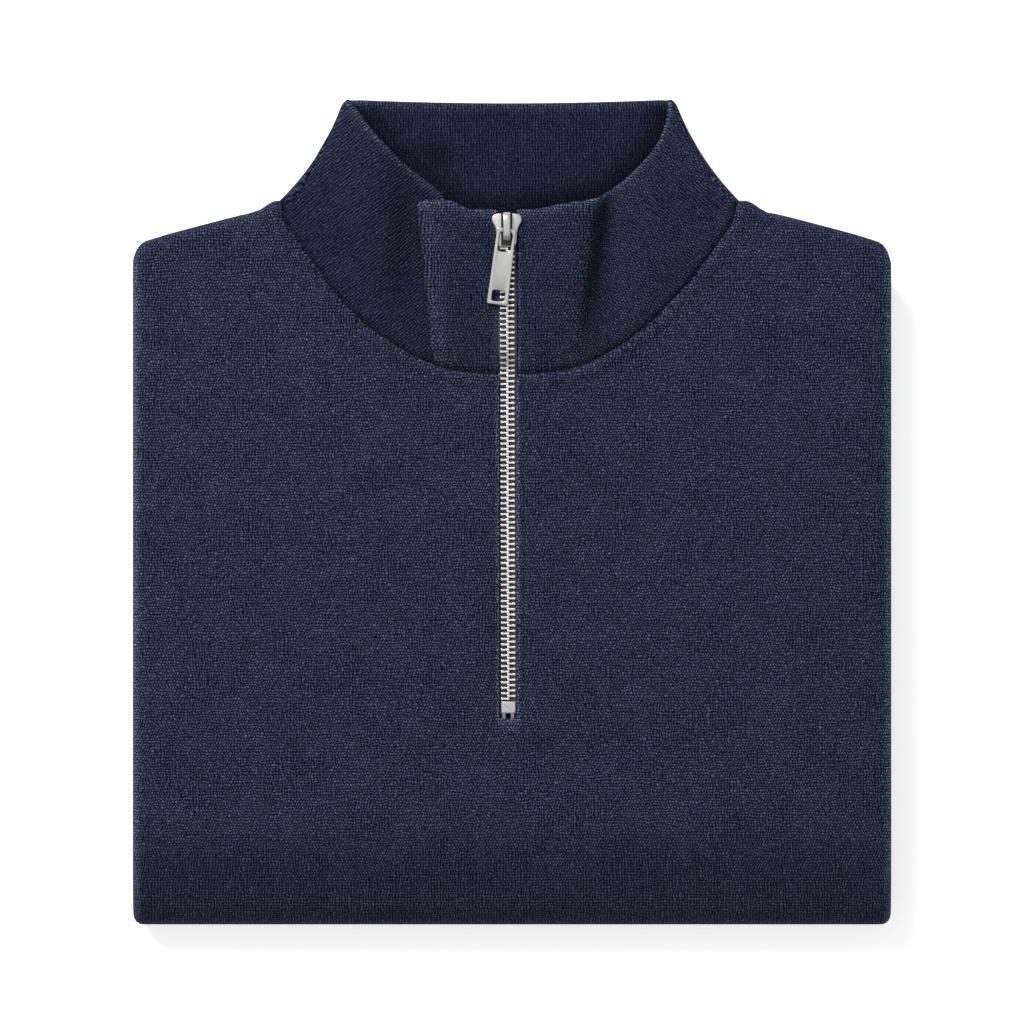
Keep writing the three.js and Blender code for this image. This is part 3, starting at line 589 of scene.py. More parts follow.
# %% The neck seam's line
SEAM_POINTS = 240
left_feet = [row[:2] for n, row in enumerate(LEFT_FRONT) if n not in LEFT_HIDDEN_ROWS]
feet = [row[:2] for row in reversed(RIGHT_FRONT)] + left_feet
seam_ends = [(feet[0][0] + 0.4, SHOULDER_TOP_Y), (feet[-1][0] - 0.4, SHOULDER_TOP_Y)]
seam = np.array([spline([seam_ends[0], *feet, seam_ends[1]], s) for s in np.linspace(0, 1, SEAM_POINTS)])
seam_along = np.gradient(seam, axis=0)
seam_along /= np.linalg.norm(seam_along, axis=1)[:, None]
seam_out = np.stack([-seam_along[:, 1], seam_along[:, 0]], axis=1)
seam_line = seam + seam_out * GAP
print("neck seam, front:", round(np.linalg.norm(np.diff(seam, axis=0), axis=1).sum()), "mm")


def nearest_on_seam(places):
    """The nearest point of the seam to each place, and how far it is: positive outside the neck."""
    gap = np.linalg.norm(places[:, None, :] - seam_line[None], axis=2)
    nearest = seam_line[gap.argmin(axis=1)]
    order = np.argsort(seam_line[:, 0])
    seam_at_x = np.interp(places[:, 0], seam_line[order, 0], seam_line[order, 1])
    within = (places[:, 0] > seam_line[:, 0].min()) & (places[:, 0] < seam_line[:, 0].max())
    sign = np.where(within & (places[:, 1] > seam_at_x), -1, 1)
    return nearest, gap.min(axis=1) * sign


# %% The zip's line
ZIP_TOP_X = -2.1
ZIP_BOTTOM_X = -1.5
SLIT_HALF = 3.75
SLIT_END_Y = -86.8
STOP_TOP_Y = -79.6
STOP_BOTTOM_Y = -84.6
CHAIN_TOP_Y = 120.6
BODY_TAPE_Z = CHEST_HEIGHT - CLOTH - GAP - 0.45
ZIP_CLIMB = 9
LEFT_STITCH = -5.6
RIGHT_STITCH = 7.0


def zip_x(y):
    return mix(ZIP_BOTTOM_X, ZIP_TOP_X, min(1, max(0, (y - STOP_TOP_Y) / (CHAIN_TOP_Y - STOP_TOP_Y))))


SLIT_X = zip_x(0)


def panel_z(y):
    """How high the collar's middle panel stands beside the zip, half way through its wall."""
    _, _, _, top_y, middle_z, top_z = LEFT_FRONT[0]
    up = min(1, max(0, (y - SEAM_Y) / (top_y - SEAM_Y)))
    return bend(COLLAR_NECK_Z, middle_z, top_z, up)


def zip_z(y):
    return mix(BODY_TAPE_Z + chest_swell(zip_x(y), y), panel_z(y), smooth((y - SEAM_Y) / ZIP_CLIMB))


# %% [markdown]
# ## The front panel
# The front is one knitted panel. It wraps round both sides as flaps and runs under the pack. A fine grid is
# laid along that path, finest round the neck and the zip where the seams press their marks: the turned
# edge beside the zip, the groove of its stitching, and the low band over the neck seam's allowance. The
# neck and the slit are cut out of the grid, and Solidify gives the cloth its thickness, thinner at the
# edges where the knit is turned and pressed.

# %% Relief of the front panel
SHOULDER_BUMPS = [(-103, 127.6), (100.6, 127.6)]
# Below this line the panel is drawn together towards the bottom fold
GATHER_Y = -118


def groove(away, width):
    return math.exp(-((away / width) ** 2))


def seam_band(away):
    """The seam allowance pressed under the cloth, and the dip into the seam itself."""
    band = 0.95 * smooth(away / 1.4) * (1 - smooth((away - 4.2) / 2.6))
    return band - 1.5 * (1 - smooth(away / 1.3))


def zip_relief(x, y):
    """The turned edge beside the zip, lower than the cloth, and the grooves that its stitching pulls in."""
    away = x - zip_x(y)
    fade = smooth((y - SLIT_END_Y + 5) / 5)
    turned = -0.35 * (1 - smooth((abs(away) - SLIT_HALF) / 0.8)) * smooth((y - SLIT_END_Y + 1) / 2)
    stitched = -0.55 * groove(away - LEFT_STITCH, 0.7) - 0.55 * groove(away - RIGHT_STITCH, 0.8)
    return turned + fade * stitched


def chest_relief(x, y, from_seam):
    """All relief: a bump where the neck seam meets each shoulder, soft ripples, and gathers low down."""
    bumps = sum(0.9 * math.exp(-((x - u) ** 2 + (y - v) ** 2) / 10) for u, v in SHOULDER_BUMPS)
    ripple = 0.12 * math.sin(x / 7.1 + 1.3 * math.sin(y / 31)) * math.sin(y / 17 + x / 41)
    low = smooth((GATHER_Y - y) / 30)
    gathers = 0.16 * low * (math.sin(x / 1.9 + 0.7) + math.sin(x / 1.27 + y / 19) + math.sin(x / 3.7))
    return seam_band(from_seam) + zip_relief(x, y) + bumps + ripple + gathers


# %% Grid of the front panel
def spread(start, end, cells):
    return [mix(start, end, n / cells) for n in range(cells)]


def spread_between(stops, cells):
    """Places from each stop to the next, with that many cells between them, and the last stop."""
    return [place for pair in zip(stops, stops[1:], cells) for place in spread(*pair)] + [stops[-1]]


SHOULDER_ROWS = 5
CHEST_START_Y = 125.6
NECK_BAND_Y = 50
NECK_BAND_X = 104
ZIP_BAND_LEFT = -12.05
ZIP_BAND_RIGHT = 9.45
chest_ys = spread_between([CHEST_START_Y, NECK_BAND_Y, SLIT_END_Y, SINK_START_Y], [50, 50, 14])[:-1]
rows = [("chest", 0, 1 - n / SHOULDER_ROWS) for n in range(SHOULDER_ROWS)]
rows += [("chest", (CHEST_START_Y - y) / (CHEST_START_Y - SINK_START_Y), 0) for y in chest_ys]
rows += [("sink", n / 14, 0) for n in range(14)]
rows += [("roll", n / 16, 0) for n in range(16)]
rows += [("under", n / 40, 0) for n in range(41)]
slit_edges = [SLIT_X - SLIT_HALF, SLIT_X + SLIT_HALF]
top_stops = [-TURN_X, -NECK_BAND_X, ZIP_BAND_LEFT, *slit_edges, ZIP_BAND_RIGHT, NECK_BAND_X, TURN_X]
top_xs = spread_between(top_stops, [15, 60, 8, 2, 9, 62, 15])
FLAP_CELLS = 16
TURN_CELLS = 8
TURN_LENGTH = math.pi * UPPER_THICKNESS / 2
side_columns = [("flap", n / FLAP_CELLS) for n in range(FLAP_CELLS)]
side_columns += [("turn", n / TURN_CELLS) for n in range(TURN_CELLS)]
columns = [(kind, share, -1) for kind, share in side_columns]
columns += [("top", x / TURN_X, 1) for x in top_xs]
columns += [(kind, share, 1) for kind, share in reversed(side_columns)]
print("front panel grid:", len(rows), "rows of", len(columns), "points")


def wrap_place(column, thick):
    """x, depth under the pack's face, and how far across the flat cloth."""
    kind, share, side = column
    radius = thick / 2
    turn_x = PACK_HALF_WIDTH - radius
    if kind == "top":
        return turn_x * share, 0, TURN_X * share
    if kind == "turn":
        angle = math.pi * share
        x = side * (turn_x + radius * math.sin(angle))
        return x, radius + radius * math.cos(angle), side * (TURN_X + TURN_LENGTH * (1 - share))
    flap_x = mix(PACK_HALF_WIDTH - FLAP_WIDTH, turn_x, share)
    return side * flap_x, thick, side * (TURN_X + TURN_LENGTH + turn_x - flap_x)


def front_point(row, column):
    """A point, its place on the flat cloth, and how far it is on the pack's upper face."""
    stretch, share, roll = row
    thick = pack_place(stretch, share, 0)[4]
    x, depth, across = wrap_place(column, thick)
    on_top = 1 - smooth((depth / thick - 0.2) / 0.4)
    shoulder = read_table(SHOULDER_LINE, abs(x - SHOULDER_MIDDLE_X)) - SHOULDER_ROLL
    flap = FLAP_TOP_Y - FLAP_SLOPE * (PACK_HALF_WIDTH - abs(x))
    x, y, z = in_pack(stretch, share, x, depth, mix(flap, shoulder, on_top))
    along = cloth_along(stretch, share, y)
    if roll > 0:
        angle = roll * SHOULDER_ROLL_ANGLE * on_top
        arm = SHOULDER_ROLL - depth
        y += arm * math.sin(angle) + (1 - on_top) * roll * 3
        z -= arm * (1 - math.cos(angle))
        along += arm * angle
    return (x, y, z), (across, along), on_top


grid = [[front_point(row, column) for column in columns] for row in rows]
front, front_flat, front_on_top = (np.array([[cell[n] for cell in line] for line in grid]) for n in range(3))

# %% Cut the neck and the slit, and press the relief in
FAR = 99.0
row_kinds = np.array([row[0] in ("chest", "sink") for row in rows])
near_neck = row_kinds[:, None] & (front_on_top > 0.9) & (front[..., 1] > 40) & (abs(front[..., 0]) < 118)
from_seam = np.full(front.shape[:2], FAR)
nearest = np.zeros((*front.shape[:2], 2))
nearest[near_neck], from_seam[near_neck] = nearest_on_seam(front[near_neck][:, :2])


def all_corners(of):
    return of[:-1, :-1] & of[1:, :-1] & of[1:, 1:] & of[:-1, 1:]


in_slit = (abs(front[..., 0] - SLIT_X) < SLIT_HALF + 0.01) & (front[..., 1] > SLIT_END_Y - 0.01)
in_slit &= row_kinds[:, None] & (front_on_top > 0.9)
keep = all_corners(from_seam > -0.7) & ~all_corners(in_slit)
used = np.zeros(front.shape[:2], bool)
dropped = np.zeros(front.shape[:2], bool)
for down in (0, 1):
    for right in (0, 1):
        end_row, end_column = front.shape[0] - 1 + down, front.shape[1] - 1 + right
        used[down:end_row, right:end_column] |= keep
        dropped[down:end_row, right:end_column] |= ~keep
on_edge = used & dropped & (abs(from_seam) < 2.5)
front[..., :2][on_edge] = nearest[on_edge]
from_seam[on_edge] = 0
for place in zip(*np.nonzero(row_kinds[:, None] & (front_on_top > 0.5))):
    x, y, z = front[place]
    edge = smooth((PACK_HALF_WIDTH - abs(x)) / 12) * front_on_top[place]
    front[place][2] = z + edge * chest_relief(x, y, from_seam[place])


# %% Ribs at the bottom fold, the paler edges beside the zip, and painted highlight along the sides
# The ribs darken the yarn towards and round the bottom fold, partly as painted shade of the roll
FRONT_RIB = 0.5
ZIP_EDGE_PALENESS = 0.8
ZIP_PALE_END_Y = -92
LEFT_SIDE_HIGHLIGHT = 0.65
RIGHT_SIDE_HIGHLIGHT = 1.0
front_rib = np.zeros(front_flat.shape)
for place in zip(*np.nonzero(used)):
    x, y, _ = front[place]
    if front_on_top[place] > 0.5 and row_kinds[place[0]]:
        # The yarn is paler beside the zip's slit, from just below its end upwards
        beside_zip = abs(x - zip_x(y)) - SLIT_HALF
        lighter_by = ZIP_EDGE_PALENESS * (1 - smooth(beside_zip / 2)) * smooth((y - ZIP_PALE_END_Y) / 4)
        front_rib[place] = FRONT_RIB * smooth((GATHER_Y - y) / 36), lighter_by
    elif rows[place[0]][0] != "chest":
        front_rib[place] = FRONT_RIB, 0
    # Along both sides the yarn is painted paler as painted highlight, more on the right
    side_highlight = RIGHT_SIDE_HIGHLIGHT if x > 0 else LEFT_SIDE_HIGHLIGHT
    front_rib[place][1] += side_highlight * smooth((abs(x) - PACK_HALF_WIDTH + 4) / 3)

# %% Thickness and finish of the front panel
front_piece = sheet("front_panel_cloth", front, front_flat, front_rib, keep)
print("cut front panel has", len(front_piece.data.polygons), "faces")
THIN_EDGE = 0.35
group = front_piece.vertex_groups.new(name="full thickness")
for index, (r, c) in enumerate(zip(*np.nonzero(used))):
    beside_zip = abs(front[r, c, 0] - zip_x(front[r, c, 1])) - SLIT_HALF
    at_slit = smooth(beside_zip / 1.6) if in_slit[r].any() and front_on_top[r, c] > 0.9 else 1
    at_neck = smooth(max(0, from_seam[r, c]) / 2.2)
    at_end = 0.34 * min(r, len(rows) - 1 - r, c, len(columns) - 1 - c)
    group.add([index], min(1, at_slit, at_neck, at_end), "REPLACE")
modify(
    front_piece, "SOLIDIFY", thickness=CLOTH * MM, offset=-1, vertex_group="full thickness",
    thickness_vertex_group=THIN_EDGE,
)
finish(front_piece, body_knit, ["front_panel"])
FLAP_EDGE_X = 48
FRONT_CUT = (2 * (TURN_X + TURN_LENGTH + TURN_X - FLAP_EDGE_X) * MM, 0.614)
# The neck and the slit take the rest
FRONT_AREA = 0.86 * FRONT_CUT[0] * FRONT_CUT[1]

# %% [markdown]
# ## The layers inside
# The back panel and the folded layers hold the pack up from inside. Only their edges show, at the shoulder
# end, at the hem and through the neck, so they share one closed skin whose edge is drawn as a few
# rounded layers. The sleeves are flattened tubes between the two halves of the pack.

# %% The back panel
LAYERS = 3
SHOULDER_LAYERS = [-2.4, -1, 1.4, 4.3, 3, 4.2, 2.6]
HEM_LAYERS = [-1.2, 0, -1.6, -0.2, -1.4, 0, -1.2]
SHOULDER_CORNER_TUCK = 2.5
BACK_XS = [0, 8, 14, 18, 25, 33, 38, 42.8, 46.4, 57, 68, 76, 84, 90, 96, 100, 105, 114, 124, 133, 142]
MIDDLE_FILL = 45
FILL_UPPER = 5.6
FILL_LOWER = 5.2
# Where the flaps don't reach, in the chest's first twelfth, the layers are thicker by this, this far out
PAST_FLAP_PARTS = 12
PAST_FLAP_FILL = 1.9
PAST_FLAP_REACH = 112
# The neck's oval, which the layers leave free: half its width and height, and how deep it is
NECK_OVAL = (92, 64)
NECK_HOLLOW = 5.2
ZIP_ROOM = 2.2
ZIP_ROOM_HALF = 15.5
ZIP_ROOM_PAST_END = 24
back_rows = [("chest", n / 40) for n in range(40)] + [("sink", n / 8) for n in range(8)]
back_rows += [("roll", n / 12) for n in range(12)] + [("under", n / 30) for n in range(31)]


def from_list(values, share):
    return float(np.interp(share * (len(values) - 1), range(len(values)), values))


def back_end(offset, level):
    """How far up the pack the layers reach: to the neck's back seam, or to the shoulder."""
    neck_half = (RIGHT_FOLD[0][0] - LEFT_FOLD[0][0]) / 2
    if offset < neck_half and (offset < 90 or level > 0.4):
        return RIGHT_FOLD[0][1] - GAP - BACK_NECK_DIP * (1 - (offset / neck_half) ** 2)
    return read_table(SHOULDER_LINE, offset) - SHOULDER_ROLL + from_list(SHOULDER_LAYERS, level)


def back_fill(stretch, share, x):
    """How far the layers reach past the room that the front panel leaves."""
    if abs(x) < MIDDLE_FILL:
        return FILL_LOWER if stretch == "under" and share > 0 else FILL_UPPER
    if stretch == "chest" and share < 1 / PAST_FLAP_PARTS and abs(x) < PAST_FLAP_REACH:
        return PAST_FLAP_FILL * (1 - share * PAST_FLAP_PARTS)
    return 0


def back_point(column, row, level):
    middle = len(BACK_XS)
    step = round(column * 2 * middle) - middle
    side, step = (1 if step > 0 else -1 if step < 0 else 0), abs(step)
    stretch, share = back_rows[round(row * (len(back_rows) - 1))]
    thick = pack_place(stretch, share, 0)[4]
    lining = CLOTH + GAP
    reach = thick / 2 - lining
    edge_x = PACK_HALF_WIDTH - thick / 2 + reach * math.sqrt(max(0, 1 - (2 * level - 1) ** 2))
    x = side * edge_x if step == middle else SLIT_X * (1 - step / middle) + side * BACK_XS[step]
    dent = 1 - abs(math.sin(LAYERS * math.pi * level))
    end = back_end(abs(x - NECK_MIDDLE_X), level) - 0.5 * dent
    end -= SHOULDER_CORNER_TUCK if step == middle else 0
    y, _, _, out_z, _ = pack_place(stretch, share, end)
    on_top = out_z > 0.9
    oval = math.hypot((x - NECK_MIDDLE_X) / NECK_OVAL[0], (SHOULDER_TOP_Y - y) / NECK_OVAL[1])
    hollow = NECK_HOLLOW * smooth((1.14 - oval) / 0.34) if on_top else 0
    by_zip = abs(x - zip_x(y)) < ZIP_ROOM_HALF and y > SLIT_END_Y - ZIP_ROOM_PAST_END
    room = max(hollow, ZIP_ROOM if on_top and by_zip else 0)
    depth = mix(lining + room, thick - lining + back_fill(stretch, share, x), level)
    x, y, z = in_pack(stretch, share, x, depth, end)
    if row == 1:
        y += from_list(HEM_LAYERS, level) - 0.4 * dent
    return x, y, z


back_piece = skin("back_panel_cloth", back_point, 2 * len(BACK_XS), len(back_rows) - 1, 12)
finish(back_piece, body_knit, ["back_panel"])

# %% The sleeves
SLEEVE_XS = (50, 153)
SLEEVE_YS = (-157.5, 98)
SLEEVE_ZS = (10.7, 16.1)
SLEEVE_SLOPE = 0.12
SLEEVE_INSETS = [1.7, 0.5, 0.3, 0.8, 1.3, 0.8, 0.3, 0.5, 1.7]


def sleeve_point(side):
    def place(column, row, level):
        inset = from_list(SLEEVE_INSETS, level)
        x = mix(SLEEVE_XS[0] + inset, SLEEVE_XS[1] - inset, column)
        end = SLEEVE_YS[1] - inset - SLEEVE_SLOPE * (SLEEVE_XS[1] - x)
        return side * x, mix(SLEEVE_YS[0] + inset, end, row), mix(*SLEEVE_ZS, level)

    return place


for side, node in ((-1, "sleeve_left"), (1, "sleeve_right")):
    sleeve = skin(node + "_cloth", sleeve_point(side), 20, 50, 8)
    finish(sleeve, body_knit, [node])

# %% [markdown]
# ## The collar
# The collar is knitted double, with ribs that are clear at its back and sides and faint on the middle panel.
# Its lines run from the zip round the left side, the back and the right side to the zip again, and each
# line runs from the neck seam to the top edge. On the flat cloth the ribs stand square to the neck seam, so
# on the side parts they lean, and on the middle panel and the back they are upright. The pattern is
# therefore laid part by part, and changes at the creases.

# %% Lines of the collar
FRONT_LINES = 64
FOLD_LINES = 14
BACK_LINES = 44
COLLAR_ROWS = 36


def front_line(table, share):
    foot = spline([row[:2] for row in table], share)
    middle_z = spline([(n, row[4], 0) for n, row in enumerate(table)], share)[1]
    head = spline([(row[2], row[3], row[5]) for row in table], share)

    def place(up):
        x, y = (mix(a, b, up) for a, b in zip(foot, head))
        return x, y, bend(COLLAR_NECK_Z, middle_z, head[2], up)

    return place


def fold_line(fold, turn):
    side = math.copysign(1, fold[0][0])

    def place(up):
        radius = bend(*FOLD_RADIUS, up)
        inward = radius * FOLD_FLATNESS * (1 - math.sin(turn)) + COLLAR_WALL / 2
        y = bend(*(p[1] for p in fold), up)
        corner = math.sin(turn) * max(0, (y - fold[2][1]) / 3 + 1) ** 2
        x = bend(*(p[0] for p in fold), up) - side * (inward + 1.6 * corner)
        return x, y - 0.8 * corner, bend(*FOLD_BACK_Z, up) + radius * (1 + math.cos(turn))

    return place


def back_line(share):
    left, right = fold_line(LEFT_FOLD, math.pi), fold_line(RIGHT_FOLD, math.pi)
    dip = 1 - (2 * share - 1) ** 2

    def place(up):
        x, y, z = (mix(a, b, share) for a, b in zip(left(up), right(up)))
        return x, y - dip * mix(BACK_NECK_DIP, BACK_TOP_DIP, up), z

    return place


def shares(count):
    return [n / (count - 1) for n in range(count)]


def side_lines(side, table, fold):
    """Each line of one side, with its part and its row there: the front from the zip, then the turn."""
    front_lines = [(front_line(table, s), side, s * (len(table) - 1)) for s in shares(FRONT_LINES)]
    return front_lines + [(fold_line(fold, math.pi * s), side + " turn", s) for s in shares(FOLD_LINES)]


lines = side_lines("left", LEFT_FRONT, LEFT_FOLD)
lines += [(back_line(s), "back", s) for s in shares(BACK_LINES + 1)[1:-1]]
lines += reversed(side_lines("right", RIGHT_FRONT, RIGHT_FOLD))
print("collar has", len(lines), "lines")

# %% Relief of the collar
# Valleys beside the middle panel: middle, reach each way, depth
VALLEYS = [(-43.7, 104, 7, 22, 0.5), (38, 112, 7, 22, 0.4), (30, 84, 5, 16, 0.3)]
EDGE_BEAD = 0.7
# The foot of the collar runs on under the body's edge, this share of its height
TUCK = 0.022


def collar_relief(x, y, up, part):
    """The dip at the neck seam, the bead along the top edge, the zip's stitching, and the valleys."""
    height = up * COLLAR_HEIGHT
    relief = -0.75 * (1 - smooth(max(0, height) / 1.6)) + EDGE_BEAD * smooth((height - 66.5) / 1.6)
    if part in ("left", "right"):
        away = x - zip_x(y)
        relief -= 0.5 * (groove(away - LEFT_STITCH, 0.8) + groove(away - RIGHT_STITCH, 0.9))
        relief -= sum(d * math.exp(-(((x - u) / a) ** 2) - ((y - v) / b) ** 2) for u, v, a, b, d in VALLEYS)
    return relief


# %% Ribs of the collar, and its painted highlights
# The ribs darken the yarn, partly as painted shade: the back most, then the left side, then the right
BACK_RIB = 0.92
LEFT_SIDE_RIB = 0.7
RIGHT_SIDE_RIB = 0.45
PANEL_RIB = 0.25
# Painted highlight: along the collar's top edge, on its turns and on the middle panel's left edge
RIM_HIGHLIGHT = 0.55
TURN_HIGHLIGHT = 0.45
PANEL_EDGE_HIGHLIGHT = 0.25
PANEL_EDGE_ROW = 4.7


def past_crease(part, row):
    """1 beside the left crease of the middle panel, -1 beside the right one, 0 on the panel."""
    if part == "left" and row > LEFT_CREASE_ROW:
        return 1
    return -1 if part == "right" and row > RIGHT_CREASE_ROW else 0


def rib_share(x, part, row):
    """How far the stitches join up into ribs: clearly at the back and sides, hardly on the panel."""
    if part == "back":
        return BACK_RIB
    if past_crease(part, row) or "turn" in part:
        return LEFT_SIDE_RIB if x < 0 else RIGHT_SIDE_RIB
    return PANEL_RIB


def lightening_share(x, y, up, part, row):
    """How much paler the yarn is painted: painted highlight along the top edge, on the panel's left edge and
    on the turns, and paler beside the zip.
    """
    lighter_by = RIM_HIGHLIGHT * smooth((up * COLLAR_HEIGHT - 64) / 3.5)
    if "turn" in part:
        return max(lighter_by, TURN_HIGHLIGHT * math.sin(math.pi * row) ** 3)
    if part == "back":
        return lighter_by
    beside_zip = abs(x - zip_x(y)) - SLIT_HALF
    panel_edge = PANEL_EDGE_HIGHLIGHT * groove(row - PANEL_EDGE_ROW, 0.9) if part == "left" else 0
    return max(lighter_by, panel_edge, ZIP_EDGE_PALENESS * (1 - smooth(beside_zip / 2)))


# %% Painted shade in the collar's creases
FOOT_SHADE = 0.75
LEFT_BACK_SHADE = 0.7
RIGHT_BACK_SHADE = 0.85
BACK_SHADE_REACH = 13
CREASE_SHADE = 0.4
# The darkest row beside the middle panel, and how many rows its shade reaches
CREASE_SHADES = {"left": (8.4, 1.3), "right": (6.1, 0.9)}
heads = np.array([row[2:4] for table in (LEFT_FRONT, RIGHT_FRONT) for row in table])
heads = np.concatenate([heads, (heads[1:] + heads[:-1]) / 2])


def crease_shade_share(x, y, up, part, row):
    """How much painted shade a place gets: along the collar's foot, down in the creases beside the middle
    panel, and on the back beside the folds' edges, where little light comes.
    """
    height = up * COLLAR_HEIGHT
    if part == "back":
        away = np.hypot(*(heads - (x, y)).T).min()
        below_rim = 1 - smooth((height - 62) / 5)
        shade = LEFT_BACK_SHADE if x < 0 else RIGHT_BACK_SHADE
        return shade * (1 - smooth(away / BACK_SHADE_REACH)) * below_rim
    foot = FOOT_SHADE * (1 - smooth((height - 0.2) / 2.2))
    if part not in CREASE_SHADES:
        return foot
    darkest, reach = CREASE_SHADES[part]
    return max(foot, CREASE_SHADE * groove(row - darkest, reach))


# %% The collar's flat measure
RIB_LEAN = math.radians(39)
TURN_RADIUS = 2.9


def cloth_place(x, y, part, row, cell_row):
    """Where a point is on the flat rib, in millimetres: across the ribs, and along them."""
    lean = past_crease(part, cell_row)
    if "turn" in part:
        side = -1 if part == "left turn" else 1
        angle = math.pi * row
        x += side * TURN_RADIUS * (angle - math.sin(angle))
        lean = -side if cell_row < 0.5 else 0
    if not lean:
        return x, y
    ribs = x * math.sin(RIB_LEAN) - lean * y * math.cos(RIB_LEAN)
    return ribs, lean * x * math.cos(RIB_LEAN) + y * math.sin(RIB_LEAN)


# %% Points of the collar, and its pattern
CELL_CORNERS = ((0, 0), (1, 0), (1, 1), (0, 1))
ups = [-TUCK, *shares(COLLAR_ROWS + 1)]
collar = np.zeros((len(lines), len(ups), 3))
for n, (place, part, row) in enumerate(lines):
    on_front = part in ("left", "right")
    for m, up in enumerate(ups):
        x, y, z = place(up)
        tuck = -1.5 if up < 0 and part != "back" else 0
        relief = collar_relief(x, y, up, part) if on_front or part == "back" else 0
        collar[n, m] = x, y, z + tuck + (relief if on_front else -relief)
collar_flat = np.zeros((len(lines) - 1, len(ups) - 1, 4, 2))
collar_rib = np.zeros(collar_flat.shape)
for n in range(len(lines) - 1):
    _, part, row = lines[n]
    next_row = lines[n + 1][2] if lines[n + 1][1] == part else row
    # A cell lies on one side of a crease, so the pattern is laid by one row for all its corners
    cell_row = (row + next_row) / 2 if "turn" in part else row
    for m in range(len(ups) - 1):
        for k, (i, j) in enumerate(CELL_CORNERS):
            x, y, _ = collar[n + i, m + j]
            up, corner_row = ups[m + j], next_row if i else row
            collar_flat[n, m, k] = cloth_place(x, y, part, corner_row, cell_row)
            # The second map: paler where highlight is painted, darker by the painted shade
            shade = lightening_share(x, y, up, part, corner_row) - crease_shade_share(x, y, up, part, corner_row)
            collar_rib[n, m, k] = rib_share(x, part, corner_row), shade

# %% Wall of the collar
collar_piece = sheet("collar_cloth", collar, collar_flat, collar_rib, flip=True)
modify(collar_piece, "SOLIDIFY", thickness=COLLAR_WALL * MM, offset=0)
modify(collar_piece, "SUBSURF", levels=1, render_levels=1)
finish(collar_piece, collar_knit, ["collar"])


# %% [markdown]
# ## Stitches
# The collar is linked to the body with a row of small stitches, and the zip is held by a line of lockstitch
# down each side. One stitch is made: a short thread that dives into the cloth at both ends. It is then
# copied along each line.


# %% One stitch, copied along a line
def thread_stitch(length, width, height):
    """Points, sides and ends of one stitch that lies along X, in millimetres."""
    around, along = 6, 5
    points = []
    for i in range(along + 1):
        share = i / along
        lift = math.sin(math.pi * share)
        thick = 0.45 + 0.55 * math.sqrt(max(0, lift))
        for j in range(around):
            angle = 2 * math.pi * j / around
            y, z = 0.5 * width * thick * math.cos(angle), 0.5 * height * thick * math.sin(angle)
            points.append(((share - 0.5) * length, y, z + height * (lift - 0.9) * 0.8))
    sides = []
    for i in range(along):
        for j in range(around):
            a, b = i * around + j, i * around + (j + 1) % around
            sides.append((a, b, b + around, a + around))
    ends = [tuple(reversed(range(around))), tuple(along * around + j for j in range(around))]
    return points, sides, ends


def sew(name, stitch, places):
    """Joins copies of a stitch. places: the middle of each one and the angle that it lies at."""
    shape, sides, ends = stitch
    points, faces = [], []
    for x, y, z, angle in places:
        c, s = math.cos(angle), math.sin(angle)
        start = len(points)
        points += [(x + c * a - s * b, y + s * a + c * b, z + up) for a, b, up in shape]
        faces += [tuple(start + n for n in face) for face in sides + ends]
    piece = piece_from(name, [tuple(c * MM for c in p) for p in points], faces)
    edit(piece, turn_out)
    finish(piece, navy_thread, [])


def thread(name, dark, light):
    bench = Bench(name)
    spot = bench.node("ShaderNodeTexCoord")[3]
    twist = bench.noise(spot, 2600.0, 2.0)
    return bench.surface(
        Base_Color=bench.colours(twist, dark, light), Normal=bench.bump(twist, 0.1 * MM), Roughness=0.8,
        Specular_IOR_Level=0.1,
    )


navy_thread = thread("Navy thread", (0.004, 0.005, 0.011), (0.03, 0.037, 0.068))
pale_thread = thread("Pale tape end", (0.05, 0.07, 0.11), (0.3, 0.36, 0.46))

# %% Sew the neck seam and both sides of the zip
LINK_PITCH = 1.55
LINK_Z = 26.7
LINK_END_Y = 127
lengths = np.concatenate([[0], np.cumsum(np.linalg.norm(np.diff(seam_line, axis=0), axis=1))])
links = []
for at in np.arange(0.8, lengths[-1], LINK_PITCH):
    x, y = (float(np.interp(at, lengths, seam_line[:, n])) for n in (0, 1))
    u, v = (float(np.interp(at, lengths, seam_out[:, n])) for n in (0, 1))
    if abs(x - SLIT_X) > SLIT_HALF + 0.8 and y < LINK_END_Y:
        links.append((x, y, LINK_Z + chest_swell(x, y), math.atan2(v, u)))
sew("neck_linking", thread_stitch(length=2.3, width=0.62, height=0.7), links)
STITCH_PITCH = 2.5
STITCH_SINK = 0.55
zip_seam = []
for away in (LEFT_STITCH, RIGHT_STITCH):
    for y in np.arange(SLIT_END_Y - STITCH_PITCH, 124, STITCH_PITCH):
        x = zip_x(y) + away
        on_body = CHEST_HEIGHT + chest_swell(x, y)
        surface = on_body if y < SEAM_Y else panel_z(y) + COLLAR_WALL / 2
        zip_seam.append((x, y, surface - STITCH_SINK, math.pi / 2))
sew("zip_lockstitch", thread_stitch(length=2.1, width=0.42, height=0.4), zip_seam)

# %% [markdown]
# ## The zip
# Woven tapes are sewn under both edges of the slit, and metal teeth are clamped to them. One tooth is
# modelled from a block: its waist is narrowed, and its edges are bevelled. Copies of it run up each side,
# the right side half a tooth higher, so the heads close into one bright line up the middle.

